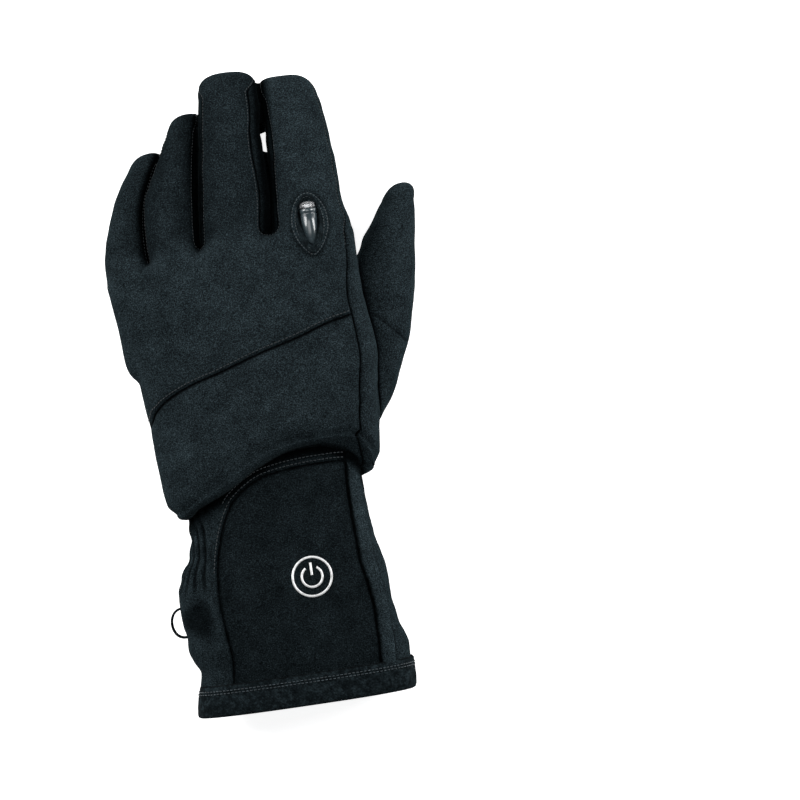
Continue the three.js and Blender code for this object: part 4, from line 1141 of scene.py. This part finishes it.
# Painted shade: the binding's two top rings, where it turns against the cuff, are darkened.
hem_painted_shade = []
for k, (y, grow) in enumerate(HEM_PROFILE):
    ring = cuff_point(np.full(COLUMNS, y), turns, grow)
    wobble = 0.3 * noise(ring, (9, 30, 9), 1.7) + 0.18 * noise(ring, 4.0, 6.1)
    ring += wobble[:, None] * cuff_normal(ring) * (1 if grow > 0.5 else 0.3)
    ring[:, 2] = np.maximum(ring[:, 2], 0.02 if grow > -0.5 else 1.2)
    hem_rings.append(ring)
    hem_painted_shade.append(np.full(COLUMNS, 0.9 if k < 2 else 0.0))
hem_points = np.concatenate(hem_rings)
hem_index = np.arange(len(hem_points)).reshape(len(HEM_PROFILE), COLUMNS)
hem_next = np.roll(hem_index, -1, axis=1)
hem_quads = np.stack([hem_index[:-1], hem_index[1:], hem_next[1:], hem_next[:-1]], -1).reshape(-1, 4)
hem_painted_shade = np.concatenate(hem_painted_shade)
mesh_object("hem_band", hem_points, hem_quads, binding, ["hem_band"], painted_shade=hem_painted_shade)

# Stitches
print("stitches")


def lines_on(piece_names, value, level, test=None):
    found = []
    for name in piece_names:
        moved, normal, part = moved_skins[name]
        lines = isolines(moved, normal, part.faces, part.values[value], level)
        found += keep_where(lines, test) if test else lines
    return found


stitched("stitches_back", lines_on(["back_upper"], "back", 1.8), thread)
first_row = lines_on(["cuff_shell"], "edge", -1.5, lambda p: (p[:, 1] > 62) & (p[:, 0] < 40))
second_row = lines_on(["cuff_shell"], "edge", -3.6, lambda p: (p[:, 1] > 92) & (p[:, 0] < 40))
stitched("stitches_cuff_panel", first_row + second_row, thread)
stitched("stitches_fingers", lines_on(["back_upper"], "top", 1.4, lambda p: p[:, 1] > 196), thread,
         spacing=1.5, length=0.95, radius=0.15)
PADS = ["pad_little", "pad_ring", "pad_middle", "pad_index"]
pad_lines = [line for value, level in (("pad", 1.2), ("pad", 3.0), ("along", 0.52), ("along", 0.74))
             for line in lines_on(PADS, value, level)]
stitched("stitches_pads", pad_lines, pale)
patch_lines = lines_on(["palm_patch"], "patch", 1.2) + lines_on(["palm_patch"], "patch", 3.0)
stitched("stitches_palm", patch_lines, pale)
stitched("stitches_thumb", lines_on(["thumb_strip"], "strip", 0.1), thread)
hem_lines = []
for ring in (hem_rings[3], (hem_rings[3] + hem_rings[4]) / 2):
    ring = np.concatenate([ring, ring[:1]])
    hem_lines.append(np.concatenate([ring, cuff_normal(ring)], 1))
stitched("stitches_hem", hem_lines, pale)

# The light
upper_moved, upper_normal, upper_part = moved_skins["back_upper"]
welt_lines = lines_on(["back_upper"], "welt", 0.9) + lines_on(["back_upper"], "welt", 2.4)
stitched("stitches_welt", welt_lines, pale, spacing=1.45, length=1.0, radius=0.24)


def lathe(profile, centre, sides=40):
    """Rings of (radius, y) round an axis along Y, closed at both ends."""
    turn = np.arange(sides) / sides * 2 * math.pi
    across, up = np.cos(turn), np.sin(turn)
    rings = [np.stack([centre[0] + r * across, np.full(sides, centre[1] + y), centre[2] + r * up], 1)
             for r, y in profile]
    points = np.concatenate(rings)
    index = np.arange(len(points)).reshape(len(profile), sides)
    nxt = np.roll(index, -1, axis=1)
    quads = np.stack([index[:-1], index[1:], nxt[1:], nxt[:-1]], -1).reshape(-1, 4)
    faces = np.concatenate([quads[:, [0, 1, 2]], quads[:, [0, 2, 3]]])
    ends = [(index[0, 0], index[0, k], index[0, k + 1]) for k in range(1, sides - 1)]
    ends += [(index[-1, 0], index[-1, k + 1], index[-1, k]) for k in range(1, sides - 1)]
    return points, np.concatenate([faces, np.array(ends)])


lens_low, lens_high = glove_box("light_lens")
light_centre = np.array([(light_low[0] + light_high[0]) / 2, 0.0, light_high[2] - 3.6])
LIGHT_RADIUS = 3.6
start, end = light_low[1], light_high[1]
NOSE_LENGTH = 8.5
nose = [(math.sin(t) ** 0.8 * LIGHT_RADIUS, start + NOSE_LENGTH * (1 - math.cos(t)))
        for t in np.linspace(0.03, math.pi / 2, 12)]
body_profile = nose + [
    (LIGHT_RADIUS, end - 2.6), (LIGHT_RADIUS - 0.25, end - 2.4), (LIGHT_RADIUS - 0.25, end - 1.9),
    (LIGHT_RADIUS, end - 1.7), (LIGHT_RADIUS, end - 0.3), (LIGHT_RADIUS - 0.3, end),
]
points, faces = lathe(body_profile, light_centre)
mesh_object("light_body", points, faces, gloss, ["light_body"])
lens_profile = [
    (3.3, lens_low[1]), (3.42, lens_low[1] + 0.5), (3.35, lens_low[1] + 1.3), (3.0, lens_low[1] + 2.1),
    (2.3, lens_high[1] - 0.35), (1.2, lens_high[1] - 0.06), (0.3, lens_high[1]),
]
points, faces = lathe(lens_profile, light_centre)
mesh_object("light_lens", points, faces, clear, ["light_lens"])
reflector_profile = [
    (2.6, lens_low[1] + 0.15), (2.5, lens_low[1] + 0.3), (0.9, lens_low[1] + 0.25), (0.8, lens_low[1] + 1.2),
]
points, faces = lathe(reflector_profile, light_centre, 24)
mesh_object("light_reflector", points, faces, reflective)

# The welt is a raised rim round the slot, and the pocket is a shallow bowl under it.


def bowl(outline, depth, rings=8):
    """A shallow bowl under a closed outline of points on the skin."""
    middle = outline.mean(axis=0)
    layers = []
    for k in range(rings):
        share = 1 - k / (rings - 0.5)
        layer = middle + (outline - middle) * share
        layer[:, 2] = outline[:, 2] * share + middle[2] * (1 - share) - depth * (1 - share ** 3)
        layers.append(layer)
    points = np.concatenate(layers)
    index = np.arange(len(points)).reshape(rings, -1)
    nxt = np.roll(index, -1, axis=1)
    quads = np.stack([index[:-1], nxt[:-1], nxt[1:], index[1:]], -1).reshape(-1, 4)
    faces = np.concatenate([quads[:, [0, 1, 2]], quads[:, [0, 2, 3]]])
    cap = [(index[-1, 0], index[-1, k], index[-1, k + 1]) for k in range(1, index.shape[1] - 1)]
    return points, np.concatenate([faces, np.array(cap)])


slot_lines = isolines(upper_moved, upper_normal, upper_part.faces, upper_part.values["slot"], -0.02)
slot_line = max(slot_lines, key=len)[:, :3]
pocket_points, pocket_faces = bowl(slot_line, 3.4)
mesh_object("light_pocket", pocket_points, pocket_faces, binding, ["light_pocket"])
welt_ring = lines_on(["back_upper"], "slot", -0.6)[0]


def cord_round(line, radius, lift, sides=8):
    """A tube along a closed polyline."""
    place, up = line[:, :3], unit(line[:, 3:])
    t = unit(np.roll(place, -1, axis=0) - np.roll(place, 1, axis=0))
    side = unit(np.cross(t, up))
    turn = np.arange(sides) / sides * 2 * math.pi
    ring = place[:, None] + lift * up[:, None] + radius * (np.cos(turn)[None, :, None] * side[:, None]
                                                          + np.sin(turn)[None, :, None] * up[:, None])
    points = ring.reshape(-1, 3)
    index = np.arange(len(points)).reshape(len(place), sides)
    a, b = index, np.roll(index, -1, axis=0)
    quads = np.stack([a, b, np.roll(b, -1, axis=1), np.roll(a, -1, axis=1)], -1).reshape(-1, 4)
    return points, quads


points, quads = cord_round(welt_ring, 0.55, 0.1)
mesh_object("light_welt", points, quads, binding, ["light_welt"])

# The emblem, laid on the cuff's panel
panel_moved, panel_normal, panel_skin = moved_skins["cuff_panel"]


def on_panel(xy):
    """The panel's surface height under points seen from above, and its normal."""
    near = ((panel_moved[None, :, :2] - xy[:, None]) ** 2).sum(axis=2)
    best = np.argpartition(near, 6, axis=1)[:, :6]
    weight = 1 / (np.take_along_axis(near, best, axis=1) + 0.02)
    weight /= weight.sum(axis=1, keepdims=True)
    z = (panel_moved[best, 2] * weight).sum(axis=1)
    return z, unit((panel_normal[best] * weight[..., None]).sum(axis=1))


def ribbon(path, width, closed):
    """A flat strip on the panel along a path seen from above."""
    path = np.array(path)
    ahead = np.roll(path, -1, axis=0) - np.roll(path, 1, axis=0) if closed else np.gradient(path, axis=0)
    t = unit(ahead)
    side = np.stack([-t[:, 1], t[:, 0]], 1) * width / 2
    layers = []
    for share, lift in ((-1, 0.0), (-0.85, 0.22), (0.85, 0.22), (1, 0.0)):
        xy = path + share * side
        z, up = on_panel(xy)
        layers.append(np.concatenate([xy, z[:, None]], 1) + (lift - 0.02) * up)
    points = np.stack(layers, 1).reshape(-1, 3)
    index = np.arange(len(points)).reshape(len(path), 4)
    a = index if closed else index[:-1]
    b = np.roll(index, -1, axis=0) if closed else index[1:]
    quads = [np.stack([a[:, k], b[:, k], b[:, k + 1], a[:, k + 1]], -1) for k in range(3)]
    return points, np.concatenate(quads)[:, ::-1]


emblem_low, emblem_high = glove_box("emblem_ring")
emblem_x, emblem_y = (emblem_low + emblem_high)[:2] / 2
EMBLEM_RADIUS, EMBLEM_LINE = 9.0, 1.0


def circle(r, a, b, n):
    return [(emblem_x + r * math.cos(t), emblem_y + r * math.sin(t)) for t in np.linspace(a, b, n)]


points, quads = ribbon(circle(EMBLEM_RADIUS - 0.5, 0, 2 * math.pi, 97)[:-1], EMBLEM_LINE, True)
mesh_object("emblem_ring", points, quads, reflective, ["emblem_ring"])
points, quads = ribbon(circle(EMBLEM_RADIUS * 0.5, 0.68 * math.pi, 2.32 * math.pi, 60), EMBLEM_LINE, False)
mesh_object("emblem_arc", points, quads, reflective, ["emblem_arc"])
bar_path = [(emblem_x, emblem_y + EMBLEM_RADIUS * s) for s in np.linspace(0.08, 0.68, 12)]
points, quads = ribbon(bar_path, EMBLEM_LINE, False)
mesh_object("emblem_bar", points, quads, reflective, ["emblem_bar"])

# The hanging loop
loop_low, loop_high = glove_box("pull_loop")
loop_y, loop_z = (loop_low[1] + loop_high[1]) / 2, (loop_low[2] + loop_high[2]) / 2
loop_half = (loop_high[1] - loop_low[1]) / 2 - 0.55
loop_root = loop_high[0] + 0.6
loop_reach = loop_root - loop_low[0] - 0.55
rings = []
for t in np.linspace(0, math.pi, 33):
    x, y = loop_root - loop_reach * math.sin(t) ** 0.8, loop_y + loop_half * math.cos(t)
    nx, ny = -math.sin(t), math.cos(t)
    profile = [
        (-0.5, -1.7), (-0.55, 0), (-0.5, 1.7), (0.0, 2.0), (0.5, 1.7), (0.55, 0), (0.5, -1.7), (0.0, -2.0),
    ]
    rings.append([(x + nx * d, y + ny * d, loop_z + h + 0.4 * math.sin(2 * t)) for d, h in profile])
points = np.array(rings).reshape(-1, 3)
index = np.arange(len(points)).reshape(len(rings), -1)
a, b = index[:-1], index[1:]
quads = np.stack([a, np.roll(a, -1, axis=1), np.roll(b, -1, axis=1), b], -1).reshape(-1, 4)
mesh_object("pull_loop", points, quads, binding, ["pull_loop"])

# Floor, lights and camera
SKY = [(0.05, 0.9), (0.5, 0.07)]  # (height, brightness)
floor_mesh = bpy.data.meshes.new("floor")
floor_mesh.from_pydata([(-3, -3, 0), (3, -3, 0), (3, 3, 0), (-3, 3, 0)], [], [(0, 1, 2, 3)])
floor = bpy.data.objects.new("floor", floor_mesh)
collection.objects.link(floor)
floor_nodes = Nodes("floor")
floor_tone = floor_nodes.ramp(floor_nodes.noise(120, 2.0), [(0.3, gray(0.9)), (0.7, gray(0.92))])
floor_material = floor_nodes.finish(floor_tone, Roughness=0.9, Emission_Color=floor_tone,
                                    Emission_Strength=0.95)
floor_mesh.materials.append(floor_material)

# The studio is brightest round the horizon, so that the glove's edges are light.
world = bpy.data.worlds.new("studio")
world.use_nodes = True
world_tree = world.node_tree
background = world_tree.nodes["Background"]
split = world_tree.nodes.new("ShaderNodeSeparateXYZ")
world_tree.links.new(world_tree.nodes.new("ShaderNodeTexCoord").outputs["Generated"], split.inputs["Vector"])
sky = world_tree.nodes.new("ShaderNodeValToRGB")
world_tree.links.new(split.outputs["Z"], sky.inputs["Fac"])
for element, (height, level) in zip(sky.color_ramp.elements, SKY):
    element.position = height
    element.color = (0.93 * level, 0.97 * level, level, 1)
seen = world_tree.nodes.new("ShaderNodeLightPath").outputs["Is Camera Ray"]
shown = world_tree.nodes.new("ShaderNodeMix")
shown.data_type = "RGBA"
world_tree.links.new(seen, shown.inputs["Factor"])
world_tree.links.new(sky.outputs["Color"], shown.inputs["A"])
shown.inputs["B"].default_value = (1, 1, 1, 1)
world_tree.links.new(shown.outputs["Result"], background.inputs["Color"])
bpy.context.scene.world = world

TARGET = (np.array([59.5, 126.0, 25.0]) + SHIFT) * MM
PHOTO_TURN = math.radians(8.3)


def light(name, place, size, energy):
    data = bpy.data.lights.new(name, "AREA")
    data.shape = "RECTANGLE"
    data.size, data.size_y = size
    data.energy = energy
    obj = bpy.data.objects.new(name, data)
    towards = -(np.array(place))
    z = unit(-towards)
    x = unit(np.cross((0, 1, 0.001), z))
    obj.matrix_world = Matrix([[*row] for row in np.block([
        [np.stack([x, np.cross(z, x), z], 1), (TARGET + np.array(place))[:, None]],
        [np.zeros((1, 3)), np.ones((1, 1))],
    ])])
    collection.objects.link(obj)


light("key", (-0.12, 0.14, 0.42), (0.3, 0.3), 0.7)
light("left", (-0.8, 0.5, 0.5), (0.5, 0.6), 9.0)
light("right", (0.75, 0.3, 0.5), (0.4, 0.6), 9.0)

DISTANCE, FRAME_WIDTH = 1.6, 0.352
camera_data = bpy.data.cameras.new("camera")
camera_data.sensor_width = 36.0
camera_data.lens = 36.0 * DISTANCE / FRAME_WIDTH
camera = bpy.data.objects.new("camera", camera_data)
right = (math.cos(PHOTO_TURN), -math.sin(PHOTO_TURN), 0)
ahead = (math.sin(PHOTO_TURN), math.cos(PHOTO_TURN), 0)
camera.matrix_world = Matrix([
    [right[0], ahead[0], 0, TARGET[0]],
    [right[1], ahead[1], 0, TARGET[1]],
    [0, 0, 1, TARGET[2] + DISTANCE],
    [0, 0, 0, 1],
])
collection.objects.link(camera)
bpy.context.scene.camera = camera
bpy.context.scene.view_settings.view_transform = "Standard"
